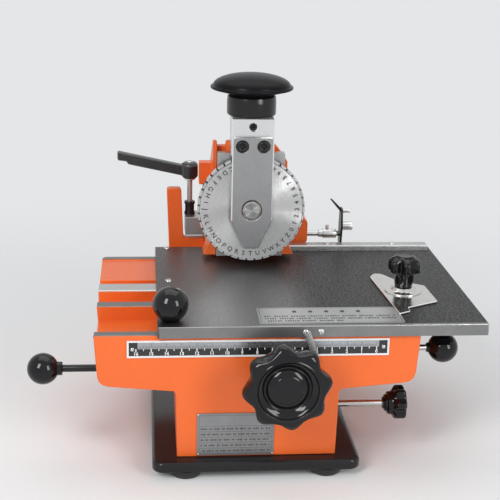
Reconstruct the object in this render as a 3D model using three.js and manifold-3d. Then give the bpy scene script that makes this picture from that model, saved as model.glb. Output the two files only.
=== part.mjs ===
// Hand-operated nameplate marking machine, modelled in millimetres, +Z up.
// x = 0 is the middle of the body casting, z = 0 is the table under the feet.
// Inside the machine group y = 0 is the front face of the body casting. The
// group is then moved forward so that the origin lies under its middle.
import * as THREE from 'three';
import { mergeVertices } from 'three/addons/utils/BufferGeometryUtils.js';
import Module from 'manifold-3d';

const wasm = await Module();
wasm.setup();

// Counts of facets
const large_sides = 48;
const round_sides = 28;
const small_sides = 16;
const corner_steps = 3;
const ball_steps = 10;
const lobe_steps = 6;

// Clearances
const seat_gap = 0.3;
const overrun = 1;

// Feet and base plate
const foot_height = 5.5;
const foot_radius = 11.5;
const foot_taper = 1.4;
const foot_spread = 96;
const foot_front_y = 2.5;
const foot_rear_inset = 14;
const base_width = 141.8;
const base_thickness = 7.5;
const base_front_overhang = 9.3;
const base_depth = 244.3;
const base_corner = 8;
const base_edge_round = 1.8;
const base_top = foot_height + base_thickness;

// Body casting, a T-shaped block with ways planed along x on its top
const body_width = 218;
const body_depth = 172;
const column_width = 110;
const column_height = 48.2;
const wing_height = 40.5;
const wing_rise = 4.7;
const side_draft = 2.4;
const column_draft = 0.8;
const wing_corner = 7;
const column_fillet = 3;
const body_front_corner = 1.4;
const body_rear_corner = 5;
const body_top = base_top + column_height + wing_height;
const front_land = 8;
const recess_depth = 10.7;
const second_land_y = 56;
const second_land = 10;
const rail_y = 89.3;
const rail_width = 16.7;
const rail_chamfer = 0.8;
const rail_groove_width = 9;
const rail_groove_depth = 6;
const rear_land = 8;
const paint_drop = 0.7;
const cavity_wall = 9;
const cavity_front_wall = 10.5;
const cavity_roof = 6;
const window_margin = 2;

// Ruler and data plate on the front
const ruler_length = 174.6;
const ruler_height = 12;
const ruler_drop = 3.6;
const ruler_thickness = 1;
const data_plate_width = 52.4;
const data_plate_height = 31;
const data_plate_thickness = 0.8;
const data_plate_x = -14.6;
const data_plate_rise = 1.2;
const data_plate_corner = 1;

// Platform that slides along x
const platform_left = -67.2;
const platform_right = 154;
const platform_front_y = -2.6;
const platform_back_gap = 1.2;
const platform_thickness = 6;
const platform_lip_drop = 1.8;
const platform_lip_thickness = 2.2;
const platform_corner = 1.2;
const platform_low = body_top + seat_gap;
const platform_top = platform_low + platform_thickness;
const travel_left = 121;
const travel_right = 38;

// Rack and pinion under the platform
const gear_module = 1.25;
const pinion_teeth = 28;
const pinion_width = 12;
const rack_width = 10;
const rack_y = 20;
const tooth_backlash = 0.3;
const tooth_root_clearance = 0.35;
const pinion_radius = gear_module * pinion_teeth / 2;
const pressure_slope_share = 0.364;
const rack_margin = 12;

// Guide shoes that straddle the rail
const shoe_width = 7;
const shoe_lift = 1.5;
const shoe_end_inset = 6;

// Fence at the rear right of the platform
const fence_left = 30;
const fence_right_inset = 3.4;
const fence_inset = 13.4;
const fence_height = 4.8;
const fence_flange = 9;
const fence_sheet = 1.6;
const fence_bar_setback = 2.4;

// Pointer that reads the ruler
const pointer_sheet = 0.8;
const ruler_pointer_left = 29.2;
const ruler_pointer_head = 4.6;
const ruler_pointer_length = 21.6;

// Ball on the platform
const push_ball_radius = 12;
const push_ball_x = -58.4;
const push_ball_y = 11;
const push_ball_flat = 4.6;

// Side stop with its star knob
const stop_x = 109.2;
const stop_y = 63;
const stop_sheet = 1.5;
const stop_boss_radius = 13.3;
const stop_boss_top_radius = 9;
const stop_boss_height = 3.4;
const stop_boss_rim = 0.8;
const stop_stud_radius = 3;
const stop_stud_rise = 15;
const stop_hub_radius = 7.2;
const stop_hub_height = 11;
const stop_head_radius = 11.9;
const stop_head_height = 9.5;
const stop_dome = 3;
const stop_lobes = 6;

// Front handwheel
const handwheel_x = 16;
const handwheel_radius = 29.6;
const handwheel_reach = 35;
const handwheel_rim = 13;
const handwheel_lobes = 8;
const handwheel_lobe_turn = 8.5;
const handwheel_valley = 4.4;
const handwheel_crest_radius = 19.6;
const handwheel_pan_radius = 12.8;
const handwheel_pan_depth = 6.2;
const handwheel_hub_radius = 10.5;
const handwheel_hub_gap = 3.2;
const handwheel_shaft_radius = 4;
const bush_radius = 7.5;
const bush_flange_radius = 8.8;
const bush_flange = 1;

// Spacing screw on the right of the column
const spacing_y = 25;
const spacing_z = 39.4;
const spacing_shaft_radius = 2.3;
const spacing_shaft_inset = 15;
const spacing_shaft_start = column_width / 2 - spacing_shaft_inset;
const spacing_inset = 18.4;
const spacing_neck_x = body_width / 2 - spacing_inset;
const spacing_neck_radius = 4.2;
const spacing_neck_length = 2;
const spacing_hub_radius = 6.4;
const spacing_hub_length = 6.6;
const spacing_disc_radius = 12.3;
const spacing_disc_length = 6.9;
const spacing_lobes = 7;
const spacing_grip = 8;

// Ball levers at the sides
const lever_ball_radius = 10.6;
const left_lever_y = 16;
const left_lever_z = 72.4;
const left_rod_radius = 2.45;
const left_ball_standoff = 34.4;
const left_ball_x = -body_width / 2 - left_ball_standoff;
const right_lever_y = 28;
const right_lever_z = 79.6;
const right_rod_radius = 2.1;
const right_ball_standoff = 22.6;
const right_ball_x = body_width / 2 + right_ball_standoff;
const left_neck_radius = 4.6;
const left_neck_length = 3.4;
const right_neck_radius = 3.4;
const right_neck_length = 1.6;
const rod_grip = 6;
const rod_inner_x = 35.2;
const rod_collar_radius = 5;
const rod_collar_width = 3;
const rod_collar_play = 7.5;

// Head casting
const head_x = 4.2;
const head_setback = 6;
const head_overhang = 37.7;
const head_column_y = body_depth + head_setback;
const head_front_y = head_column_y - head_overhang;
const head_low_lift = 4.8;
const head_nose_depth = 19.7;
const head_nose_flat = 5.2;
const head_nose_drop = 22;
const head_notch_width = 6.7;
const head_notch_depth = 4.9;
const head_throat_lift = 10;
const head_column_depth = 54;
const head_top = 202;
const head_foot_half = 34.8;
const head_foot_height = 13.2;
const head_side_half = 28.3;
const head_column_half = 31.5;
const head_flange_half = 55;
const head_flange_height = 24;
const head_chamfer_x = 11.7;
const head_chamfer_z = 15.8;
const head_crown_depth = 26;
const head_shoulder_z = 168;
const head_crown_half = 22;
const head_back_drop = 62;
const head_cavity_wall = 11;
const head_cavity_height = 90;
const right_lug_reach = 51;
const right_lug_low = 110.8;
const right_lug_height = 20.2;
const right_lug_depth = 20;
const left_lug_reach = 37.4;
const left_lug_low = 162.5;
const left_lug_height = 17.3;
const left_lug_setback = 14;
const left_lug_depth = 10;

// Press slide, its guides and its spring
const press_travel = 5;
const slide_half = 25.3;
const slide_thickness = 8;
const slide_low_lift = 6.4;
const slide_top = 194.3;
const guide_spread = 21.9;
const guide_front_half = 3;
const guide_back_half = 4;
const guide_depth = 6;
const guide_top_drop = 4;
const press_axis_depth = 9.7;
const press_axis_y = head_front_y + press_axis_depth;
const stem_radius = 5;
const stem_head_radius = 6.8;
const stem_head_low = 164.3;
const stem_head_height = 6;
const spring_bore_radius = 7.2;
const spring_radius = 6.3;
const spring_wire = 1.6;
const spring_low = 142;
const spring_plug_height = 7;
const peg_half = 3;
const peg_reach = 5.7;
const peg_y = head_front_y + peg_reach;
const peg_width = 2;
const peg_low = 121.5;
const peg_height = 5;
const slot_half = 4.6;

// Press block, collar and mushroom knob
const block_half = 15.8;
const block_overhang = 18.3;
const block_front_y = head_front_y - block_overhang;
const block_depth = 20;
const block_top = 222.4;
const block_step = 208.5;
const block_rear_half = 13;
const block_rear_depth = 38;
const grip_screw_radius = 2.9;
const grip_screw_drop = 6.5;
const grip_screw_depth = 8;
const grip_screw_length = 5;
const collar_radius = 18.4;
const collar_top_radius = 17.9;
const collar_height = 14;
const knob_radius = 30.9;
const knob_under_rise = 5.2;
const knob_rim = 2;
const knob_dome = 9.3;
const knob_wall = 2.6;

// Pointer plate over the wheel
const plate_half = 15.4;
const plate_sheet = 3;
const plate_top = 209.2;
const plate_shoulder = 145.8;
const plate_tip = 124;
const plate_tip_half = 5.7;
const plate_corner = 2.4;
const plate_screw_spread = 7.9;
const plate_screw_drop = 7.2;
const plate_screw_radius = 4.8;
const plate_screw_proud = 0.5;
const plate_screw_shank = 2.5;
const plate_screw_length = 10;
const plate_screw_socket = 2.3;
const plate_screw_socket_depth = 1.8;
const plate_eye_radius = 7.6;

// Type wheel and its axle
const wheel_z = 153.7;
const wheel_radius = 40.3;
const wheel_setback = 0.6;
const wheel_front_y = block_front_y + wheel_setback;
const wheel_thickness = 6.6;
const wheel_types = 40;
const type_height = 2.1;
const type_width_share = 0.74;
const type_root_share = 0.82;
const axle_radius = 4;
const axle_head_radius = 6.9;
const axle_head_proud = 0.9;
const axle_grip = 6;
const wheel_bush_radius = 6.4;
const wheel_bush_flange = 9;
const index_drop = 27;
const index_radius = 1.6;
const index_nose = 0.9;
const index_spring_radius = 1.4;
const index_spring_length = 2.2;

// Rocker that passes the stroke on to the feed
const rocker_depth = 7;
const rocker_y = head_column_y + rocker_depth;
const rocker_z = 116.5;
const rocker_radius = 2.1;
const rocker_right_reach = 84;
const rocker_left_reach = 22;
const rocker_arm_half = 3.6;
const rocker_hub_radius = 5.6;
const rocker_arm_tip_y = peg_y - peg_width;
const rocker_arm_thickness = 5;
const rocker_washer_x = 65.2;
const rocker_collar_x = 68.5;
const rocker_collar_length = 11;
const rocker_collar_radius = 3.8;
const feed_lever_x = 82.2;
const feed_lever_sheet = 1.6;
const feed_lever_half = 5;
const feed_lever_up = 22;
const feed_lever_down = 8;
const feed_lever_ear = 7;
const feed_pin_radius = 1.5;
const feed_pin_z = 135.7;
const feed_pin_length = 6.4;
const feed_roller_radius = 3.5;
const feed_roller_setback = 4;
const feed_roller_z = 124;
const feed_roller_length = 8;

// Clamp at the left rear of the head
const bracket_left = -57.8;
const bracket_post = 11.6;
const bracket_taper = 2;
const bracket_setback = 12;
const bracket_y = head_column_y + bracket_setback;
const bracket_depth = 8;
const bracket_low = 100.4;
const bracket_leg = 11.1;
const bracket_top = 152.8;
const bracket_corner = 2.5;
const clamp_block_left = -43.1;
const clamp_block_low = 115.7;
const clamp_block_height = 14.7;
const clamp_block_setback = 6;
const clamp_block_y = head_column_y + clamp_block_setback;
const clamp_block_depth = 22;
const clamp_x = -39.2;
const clamp_seat = 12;
const clamp_y = clamp_block_y + clamp_seat;
const clamp_stud_radius = 2.1;
const clamp_nut_radius = 4.3;
const clamp_nut_height = 10.6;
const clamp_washer_height = 2;
const clamp_hub_radius = 6.5;
const clamp_hub_low = 160;
const clamp_hub_height = 13.3;
const clamp_stud_grip = 7;
const clamp_handle_reach = 57.6;
const clamp_handle_rise = 9.6;
const clamp_handle_tip = 7;
const clamp_handle_width = 7;
const clamp_handle_lip = 1.6;

// Materials
function finish(color, roughness, metalness) {
  return new THREE.MeshStandardMaterial({ color, roughness, metalness });
}
const orange_paint = finish(0xf47a3c, 0.45, 0);
const black_paint = finish(0x1c1d1f, 0.4, 0);
const black_plastic = finish(0x0e0e10, 0.25, 0);
const rubber = finish(0x161616, 0.9, 0);
const bright_steel = finish(0xc9cbcd, 0.3, 1);
const ground_steel = finish(0x9a9c9e, 0.45, 1);
const dark_steel = finish(0x2b2c2e, 0.4, 0.8);
const brass = finish(0xb58a3c, 0.35, 1);
const printed_plate = finish(0xb9bcc0, 0.4, 0.6);

// Solids
function outward(positions, index) {
  const corner = [new THREE.Vector3(), new THREE.Vector3(), new THREE.Vector3()];
  let volume = 0;
  for (let face = 0; face < index.length; face += 3) {
    corner.forEach((point, side) => point.fromArray(positions, index[face + side] * 3));
    volume += corner[0].dot(corner[1].cross(corner[2]));
  }
  return volume < 0 ? index.toReversed() : index;
}

function solid(geometry) {
  geometry.deleteAttribute('normal');
  geometry.deleteAttribute('uv');
  const merged = mergeVertices(geometry);
  const positions = new Float32Array(merged.attributes.position.array);
  const kept = [];
  for (let face = 0; face < merged.index.count; face += 3) {
    const [a, b, c] = [0, 1, 2].map((side) => merged.index.getX(face + side));
    if (a !== b && b !== c && c !== a) kept.push(a, b, c);
  }
  const triangles = new Uint32Array(outward(positions, kept));
  const mesh = new wasm.Mesh({ numProp: 3, vertProperties: positions, triVerts: triangles });
  return new wasm.Manifold(mesh);
}

function join(first, ...others) {
  return others.reduce((sum, other) => sum.add(other), first);
}

function cut(first, ...others) {
  return others.reduce((rest, other) => rest.subtract(other), first);
}

function box(x0, x1, y0, y1, z0, z1) {
  const geometry = new THREE.BoxGeometry(x1 - x0, y1 - y0, z1 - z0);
  return solid(geometry.translate((x0 + x1) / 2, (y0 + y1) / 2, (z0 + z1) / 2));
}

// An outline from corners [x, y, cut], where cut rounds the corner
function outline(corners) {
  const shape = new THREE.Shape();
  const points = corners.map(([x, y]) => new THREE.Vector2(x, y));
  corners.forEach(([x, y, round = 0], at) => {
    const before = points[(at + points.length - 1) % points.length];
    const after = points[(at + 1) % points.length];
    const here = points[at];
    const enter = before.clone().sub(here).setLength(round).add(here);
    const leave = after.clone().sub(here).setLength(round).add(here);
    if (at === 0) shape.moveTo(enter.x, enter.y);
    else shape.lineTo(enter.x, enter.y);
    if (round > 0) shape.quadraticCurveTo(x, y, leave.x, leave.y);
  });
  shape.closePath();
  return shape;
}

// A round outline whose radius swings in and out for finger lobes
function lobed_outline(radius, valley, lobes, start, steps) {
  const shape = new THREE.Shape();
  for (let step = 0; step < lobes * steps; step += 1) {
    const turn = step / (lobes * steps) * 2 * Math.PI;
    const wave = (1 - Math.cos(lobes * (turn - start))) / 2;
    const reach = radius - valley * wave;
    if (step === 0) shape.moveTo(reach * Math.cos(turn), reach * Math.sin(turn));
    else shape.lineTo(reach * Math.cos(turn), reach * Math.sin(turn));
  }
  shape.closePath();
  return shape;
}

function extruded(shape, depth) {
  return new THREE.ExtrudeGeometry(shape, { depth, bevelEnabled: false, curveSegments: corner_steps });
}

function prism_z(shape, low, high) {
  return solid(extruded(shape, high - low).translate(0, 0, low));
}

function prism_y(shape, near, far) {
  return solid(extruded(shape, far - near).rotateX(Math.PI / 2).translate(0, far, 0));
}

function prism_x(shape, left, right) {
  const turned_axes = new THREE.Matrix4().makeBasis(
    new THREE.Vector3(0, 1, 0),
    new THREE.Vector3(0, 0, 1),
    new THREE.Vector3(1, 0, 0),
  );
  return solid(extruded(shape, right - left).applyMatrix4(turned_axes).translate(left, 0, 0));
}

function lathe(profile, sides) {
  return new THREE.LatheGeometry(profile.map(([r, h]) => new THREE.Vector2(r, h)), sides);
}

function turned_z(profile, x, y, sides) {
  return solid(lathe(profile, sides).rotateX(Math.PI / 2).translate(x, y, 0));
}

function turned_y(profile, x, z, sides) {
  return solid(lathe(profile, sides).translate(x, 0, z));
}

function turned_x(profile, y, z, sides) {
  return solid(lathe(profile, sides).rotateZ(-Math.PI / 2).translate(0, y, z));
}

function rod_profile(radius, low, high) {
  return [[0, low], [radius, low], [radius, high], [0, high]];
}

function rod_z(radius, low, high, x, y, sides = small_sides) {
  return turned_z(rod_profile(radius, low, high), x, y, sides);
}

function rod_y(radius, near, far, x, z, sides = small_sides) {
  return turned_y(rod_profile(radius, near, far), x, z, sides);
}

function rod_x(radius, left, right, y, z, sides = small_sides) {
  return turned_x(rod_profile(radius, left, right), y, z, sides);
}

const machine = new THREE.Group();
machine.name = 'nameplate_marking_machine';
const rear_reach = base_depth - base_front_overhang;
machine.position.set(0, (handwheel_reach - rear_reach) / 2, 0);

function piece(name, body, material) {
  const mesh = body.getMesh();
  const geometry = new THREE.BufferGeometry();
  geometry.setAttribute('position', new THREE.BufferAttribute(new Float32Array(mesh.vertProperties), 3));
  geometry.setIndex(new THREE.BufferAttribute(new Uint32Array(mesh.triVerts), 1));
  geometry.computeVertexNormals();
  const part = new THREE.Mesh(geometry, material);
  part.name = name;
  machine.add(part);
}

// Base plate: a flat black plate with rounded corners and edges
function base_plate() {
  const half = base_width / 2 - base_edge_round;
  const front = base_edge_round - base_front_overhang;
  const back = rear_reach - base_edge_round;
  const corner = base_corner - base_edge_round;
  const shape = outline([
    [-half, front, corner], [half, front, corner], [half, back, corner], [-half, back, corner],
  ]);
  const geometry = new THREE.ExtrudeGeometry(shape, {
    depth: base_thickness - 2 * base_edge_round,
    curveSegments: corner_steps,
    bevelThickness: base_edge_round,
    bevelSize: base_edge_round,
    bevelSegments: 3,
  });
  return solid(geometry.translate(0, 0, foot_height + base_edge_round));
}
piece('base_plate', base_plate(), black_paint);

// Feet: four tapered rubber pads under the base plate
const foot_profile = [
  [0, 0], [foot_radius - foot_taper, 0], [foot_radius, foot_height / 2], [foot_radius, foot_height], [0, foot_height],
];
for (const [row, y] of [['front', foot_front_y], ['rear', rear_reach - foot_rear_inset]]) {
  for (const [side, x] of [['left', -foot_spread / 2], ['right', foot_spread / 2]]) {
    piece(`foot_${row}_${side}`, turned_z(foot_profile, x, y, round_sides), rubber);
  }
}

// Places of the drive, shared by the body, the rack and the handwheel
const recess_floor = body_top - recess_depth;
const rack_tip_z = recess_floor + seat_gap + overrun / 2;
const pitch_line_z = rack_tip_z + gear_module;
const handwheel_z = pitch_line_z - pinion_radius;
const pinion_y = rack_y + rack_width / 2 - pinion_width / 2;
const rail_back = rail_y + rail_width;
const column_half = column_width / 2;

// Body casting: a T-shaped block, hollow from below, with its ways on top
function body_casting() {
  const half = body_width / 2;
  const corner_z = base_top + column_height + wing_rise;
  const inner_z = base_top + column_height;
  const front = [
    [-half, body_top], [-half + side_draft, corner_z, wing_corner], [-column_half, inner_z, column_fillet],
    [-column_half + column_draft, base_top], [column_half - column_draft, base_top],
    [column_half, inner_z, column_fillet], [half - side_draft, corner_z, wing_corner], [half, body_top],
  ];
  const plan = [
    [-half, 0, body_front_corner], [half, 0, body_front_corner],
    [half, body_depth, body_rear_corner], [-half, body_depth, body_rear_corner],
  ];
  const left = -half - overrun;
  const right = half + overrun;
  const above = body_top + overrun;
  const second_land_back = second_land_y + second_land;
  const groove_back = rail_back + rail_groove_width;
  const cavity_half = column_half - cavity_wall;
  const window_half = pinion_radius + gear_module + window_margin;
  return cut(
    prism_y(outline(front), 0, body_depth).intersect(prism_z(outline(plan), 0, above)),
    box(left, right, front_land, second_land_y, recess_floor, above),
    box(left, right, second_land_back, rail_back, recess_floor, above),
    box(left, right, rail_back - overrun, groove_back, body_top - rail_groove_depth, above),
    box(left, right, groove_back - overrun, body_depth - rear_land, body_top - paint_drop, above),
    box(
      -cavity_half, cavity_half, cavity_front_wall, body_depth - cavity_front_wall,
      base_top - overrun, recess_floor - cavity_roof,
    ),
    box(
      handwheel_x - window_half, handwheel_x + window_half, pinion_y - window_margin,
      pinion_y + pinion_width + window_margin, recess_floor - cavity_roof - overrun, recess_floor + overrun,
    ),
    rod_y(bush_radius + seat_gap, -overrun, cavity_front_wall + overrun, handwheel_x, handwheel_z, round_sides),
    rod_x(left_rod_radius + seat_gap, left, -cavity_half + overrun, left_lever_y, left_lever_z),
    rod_x(right_rod_radius + seat_gap, cavity_half - overrun, right, right_lever_y, right_lever_z),
    rod_x(spacing_shaft_radius + seat_gap, cavity_half - overrun, right, spacing_y, spacing_z),
  );
}
piece('body_casting', body_casting(), orange_paint);

// Guide rail: a bright steel bar with broken edges, seated in the second recess
function guide_rail() {
  const section = outline([
    [rail_y, recess_floor], [rail_back - seat_gap, recess_floor],
    [rail_back - seat_gap, body_top - rail_chamfer], [rail_back - seat_gap - rail_chamfer, body_top],
    [rail_y + rail_chamfer, body_top], [rail_y, body_top - rail_chamfer],
  ]);
  return prism_x(section, -body_width / 2, body_width / 2);
}
piece('guide_rail', guide_rail(), bright_steel);

// Ruler and data plate: thin plates on the front face
const ruler_top = body_top - ruler_drop;
piece('ruler_plate', box(
  -ruler_length / 2, ruler_length / 2, -ruler_thickness, 0, ruler_top - ruler_height, ruler_top,
), dark_steel);

function data_plate() {
  const half = data_plate_width / 2;
  const low = base_top + data_plate_rise;
  const high = low + data_plate_height;
  const shape = outline([
    [data_plate_x - half, low, data_plate_corner], [data_plate_x + half, low, data_plate_corner],
    [data_plate_x + half, high, data_plate_corner], [data_plate_x - half, high, data_plate_corner],
  ]);
  return prism_y(shape, -data_plate_thickness, 0);
}
piece('data_plate', data_plate(), printed_plate);

// Platform: a steel plate with a shallow front lip, sliding on the ways
const lip_low = platform_low - platform_lip_drop;
const platform_back = head_column_y - platform_back_gap;
function platform() {
  const plan = outline([
    [platform_left, platform_front_y, platform_corner], [platform_right, platform_front_y, platform_corner],
    [platform_right, platform_back, platform_corner], [platform_left, platform_back, platform_corner],
  ]);
  const lip_back = platform_front_y + platform_lip_thickness;
  const lip = box(platform_left, platform_right, platform_front_y, lip_back, lip_low, platform_top);
  const plate = box(platform_left, platform_right, platform_front_y, platform_back, platform_low, platform_top);
  const stud_hole = rod_z(
    stop_stud_radius + seat_gap, platform_low - overrun, platform_top + overrun, stop_x, stop_y,
  );
  return cut(join(plate, lip).intersect(prism_z(plan, lip_low, platform_top)), stud_hole);
}
piece('platform', platform(), ground_steel);

// Rack: a toothed bar under the platform, long enough for the whole travel
const pitch = Math.PI * gear_module;
function rack() {
  const half_gap = pitch / 4;
  const slope = gear_module * pressure_slope_share;
  const tip_half = half_gap - slope - tooth_backlash / 2;
  const root_half = half_gap + slope - tooth_backlash / 2;
  const root_z = pitch_line_z + gear_module + tooth_root_clearance;
  const first = Math.ceil((travel_right + rack_margin) / pitch);
  const last = Math.ceil((travel_left + rack_margin) / pitch);
  const shape = new THREE.Shape();
  const start = handwheel_x - (first + 0.5) * pitch;
  shape.moveTo(start - pitch / 2, platform_low);
  shape.lineTo(start - pitch / 2, root_z);
  for (let tooth = 0; tooth <= first + last; tooth += 1) {
    const middle = start + tooth * pitch;
    shape.lineTo(middle - root_half, root_z);
    shape.lineTo(middle - tip_half, rack_tip_z);
    shape.lineTo(middle + tip_half, rack_tip_z);
    shape.lineTo(middle + root_half, root_z);
  }
  const end = start + (first + last + 0.5) * pitch;
  shape.lineTo(end, root_z);
  shape.lineTo(end, platform_low);
  shape.closePath();
  return prism_y(shape, rack_y, rack_y + rack_width);
}
piece('rack', rack(), bright_steel);

// Guide shoes: bars under the platform on both sides of the rail
const shoe_left = platform_left + shoe_end_inset;
const shoe_right = platform_right - shoe_end_inset;
piece('guide_shoe_front', box(
  shoe_left, shoe_right, rail_y - seat_gap - shoe_width, rail_y - seat_gap, recess_floor + shoe_lift, platform_low,
), ground_steel);
piece('guide_shoe_rear', box(
  shoe_left, shoe_right, rail_back, rail_back + shoe_width,
  body_top - rail_groove_depth + shoe_lift, platform_low,
), ground_steel);

// Fence: a bent steel angle screwed down on a spacer bar
const fence_right = platform_right - fence_right_inset;
const fence_top = platform_top + fence_height;
const fence_front_y = platform_back - fence_inset;
function fence_angle() {
  const back = fence_front_y + fence_flange;
  const section = outline([
    [fence_front_y, platform_top], [fence_front_y + fence_sheet, platform_top],
    [fence_front_y + fence_sheet, fence_top - fence_sheet], [back, fence_top - fence_sheet],
    [back, fence_top], [fence_front_y, fence_top, fence_sheet * 0.75],
  ]);
  return prism_x(section, fence_left, fence_right);
}
piece('fence_angle', fence_angle(), bright_steel);
piece('fence_bar', box(
  fence_left, fence_right, fence_front_y + fence_bar_setback, fence_front_y + fence_flange,
  platform_top, fence_top - fence_sheet,
), dark_steel);

// Pointer: a thin slanting strip on the front lip, its tip over the ruler
function ruler_pointer() {
  const shape = outline([
    [0, 0.847], [0, 1], [0.185, 1], [0.37, 0.477], [0.505, 0.046], [0.45, 0], [0.222, 0.352],
  ].map(([across, up]) => [
    ruler_pointer_left + across * ruler_pointer_length,
    lip_low + ruler_pointer_head - (1 - up) * ruler_pointer_length,
  ]));
  return prism_y(shape, platform_front_y - pointer_sheet, platform_front_y);
}
piece('ruler_pointer', ruler_pointer(), bright_steel);

// Ball knobs: a sphere with a flat, or a short neck where its rod enters
function ball_profile(radius, neck_radius, neck_length, steps) {
  const start = Math.asin(neck_radius / radius);
  const low = -radius * Math.cos(start) - neck_length;
  const points = [[0, low], [neck_radius, low]];
  for (let step = 0; step < steps; step += 1) {
    const turn = start + (Math.PI - start) * step / steps;
    points.push([radius * Math.sin(turn), -radius * Math.cos(turn)]);
  }
  points.push([0, radius]);
  return points;
}

function raised(profile, lift) {
  return profile.map(([r, h]) => [r, h + lift]);
}

const push_ball_centre = platform_top + Math.sqrt(push_ball_radius ** 2 - push_ball_flat ** 2);
piece('push_ball', turned_z(
  raised(ball_profile(push_ball_radius, push_ball_flat, 0, ball_steps), push_ball_centre),
  push_ball_x, push_ball_y, round_sides,
), black_plastic);

// Side stop: a swivelling sheet with a turned boss, held by a star knob
const stop_boss_low = platform_top + stop_sheet;
const stop_boss_top = stop_boss_low + stop_boss_height;
const stop_hole = stop_stud_radius + seat_gap;
function stop_plate() {
  const left = stop_x - stop_boss_radius * 1.37;
  const right = stop_x + stop_boss_radius * 1.49;
  const shape = outline([
    [left, stop_y + stop_boss_radius * 2.38, stop_boss_radius / 6],
    [stop_x - stop_boss_radius * 1.05, stop_y + stop_boss_radius * 2.95, stop_boss_radius / 6],
    [stop_x - stop_boss_radius * 0.62, stop_y + stop_boss_radius * 2.9, stop_boss_radius / 6],
    [stop_x + stop_boss_radius * 0.1, stop_y + stop_boss_radius * 1.6],
    [stop_x + stop_boss_radius * 1.38, stop_y + stop_boss_radius * 0.83, stop_boss_radius / 8],
    [right, stop_y - stop_boss_radius * 1.72, stop_boss_radius / 10],
    [stop_x - stop_boss_radius * 0.27, stop_y - stop_boss_radius * 2.64],
    [stop_x - stop_boss_radius * 0.3, stop_y - stop_boss_radius * 3.2],
    [stop_x - stop_boss_radius * 0.94, stop_y - stop_boss_radius * 3.55],
  ]);
  return cut(
    prism_z(shape, platform_top, stop_boss_low),
    rod_z(stop_hole, platform_top - overrun, stop_boss_low + overrun, stop_x, stop_y),
  );
}
piece('stop_plate', stop_plate(), bright_steel);

function stop_boss() {
  const profile = [
    [stop_hole, stop_boss_low], [stop_boss_radius, stop_boss_low], [stop_boss_radius, stop_boss_low + stop_boss_rim],
    [stop_boss_top_radius, stop_boss_top], [stop_hole, stop_boss_top], [stop_hole, stop_boss_low],
  ];
  return turned_z(profile, stop_x, stop_y, round_sides);
}
piece('stop_boss', stop_boss(), bright_steel);
piece('stop_stud', rod_z(
  stop_stud_radius, platform_low + seat_gap, platform_top + stop_stud_rise, stop_x, stop_y,
), ground_steel);

function stop_knob() {
  const hub_top = stop_boss_top + stop_hub_height;
  const head_top = hub_top + stop_head_height;
  const profile = [
    [0, stop_boss_top], [stop_hub_radius * 0.86, stop_boss_top], [stop_hub_radius * 0.92, hub_top],
    [stop_head_radius * 0.9, hub_top], [stop_head_radius, hub_top + stop_head_height / 5],
    [stop_head_radius, head_top - stop_head_height / 5], [stop_head_radius * 0.84, head_top],
    [stop_hub_radius, head_top + stop_dome * 0.4], [stop_hub_radius * 0.5, head_top + stop_dome * 0.9],
    [0, head_top + stop_dome],
  ];
  const star = lobed_outline(stop_head_radius, stop_head_radius * 0.27, stop_lobes, Math.PI / 2, lobe_steps);
  const grip = prism_z(star, stop_boss_top - overrun, head_top + stop_dome + overrun).translate(stop_x, stop_y, 0);
  const hollow = rod_z(
    stop_hole, stop_boss_top - overrun, platform_top + stop_stud_rise + overrun, stop_x, stop_y,
  );
  return cut(turned_z(profile, stop_x, stop_y, round_sides).intersect(grip), hollow);
}
piece('stop_knob', stop_knob(), black_plastic);

// Handwheel: a dished black wheel with finger lobes on its rim
const hub_near = -handwheel_hub_gap - bush_flange;
const shaft_start = handwheel_pan_depth + handwheel_rim / 3 - handwheel_reach;
function handwheel() {
  const front = -handwheel_reach;
  const rim_back = front + handwheel_rim;
  const profile = [
    [0, front + handwheel_pan_depth], [handwheel_pan_radius, front + handwheel_pan_depth],
    [handwheel_pan_radius * 1.06, front + handwheel_pan_depth * 0.72],
    [handwheel_pan_radius * 1.2, front + handwheel_pan_depth * 0.65],
    [handwheel_crest_radius * 0.96, front + handwheel_pan_depth * 0.08], [handwheel_crest_radius, front],
    [handwheel_crest_radius * 1.06, front + handwheel_rim * 0.02],
    [handwheel_radius * 0.83, front + handwheel_rim * 0.2], [handwheel_radius * 0.915, front + handwheel_rim * 0.43],
    [handwheel_radius, front + handwheel_rim * 0.55], [handwheel_radius, front + handwheel_rim * 0.66],
    [handwheel_radius * 0.945, rim_back], [handwheel_hub_radius * 1.5, rim_back],
    [handwheel_hub_radius, rim_back + handwheel_rim / 4], [handwheel_hub_radius * 0.9, hub_near], [0, hub_near],
  ];
  const first_lobe = handwheel_lobe_turn * Math.PI / 180;
  const star = lobed_outline(handwheel_radius, handwheel_valley, handwheel_lobes, first_lobe, lobe_steps);
  const grip = prism_y(star, front - overrun, hub_near + overrun).translate(handwheel_x, 0, handwheel_z);
  const shaft_hole = rod_y(handwheel_shaft_radius + seat_gap, shaft_start, 0, handwheel_x, handwheel_z);
  return cut(turned_y(profile, handwheel_x, handwheel_z, large_sides).intersect(grip), shaft_hole);
}
piece('handwheel', handwheel(), black_plastic);

piece('handwheel_shaft', rod_y(
  handwheel_shaft_radius, shaft_start + seat_gap, pinion_y + pinion_width + bush_flange, handwheel_x, handwheel_z,
), bright_steel);

function handwheel_bush() {
  const bore = handwheel_shaft_radius + seat_gap;
  const profile = [
    [bore, -bush_flange], [bush_flange_radius, -bush_flange], [bush_flange_radius, 0], [bush_radius, 0],
    [bush_radius, cavity_front_wall], [bore, cavity_front_wall], [bore, -bush_flange],
  ];
  return turned_y(profile, handwheel_x, handwheel_z, round_sides);
}
piece('handwheel_bush', handwheel_bush(), brass);

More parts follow.
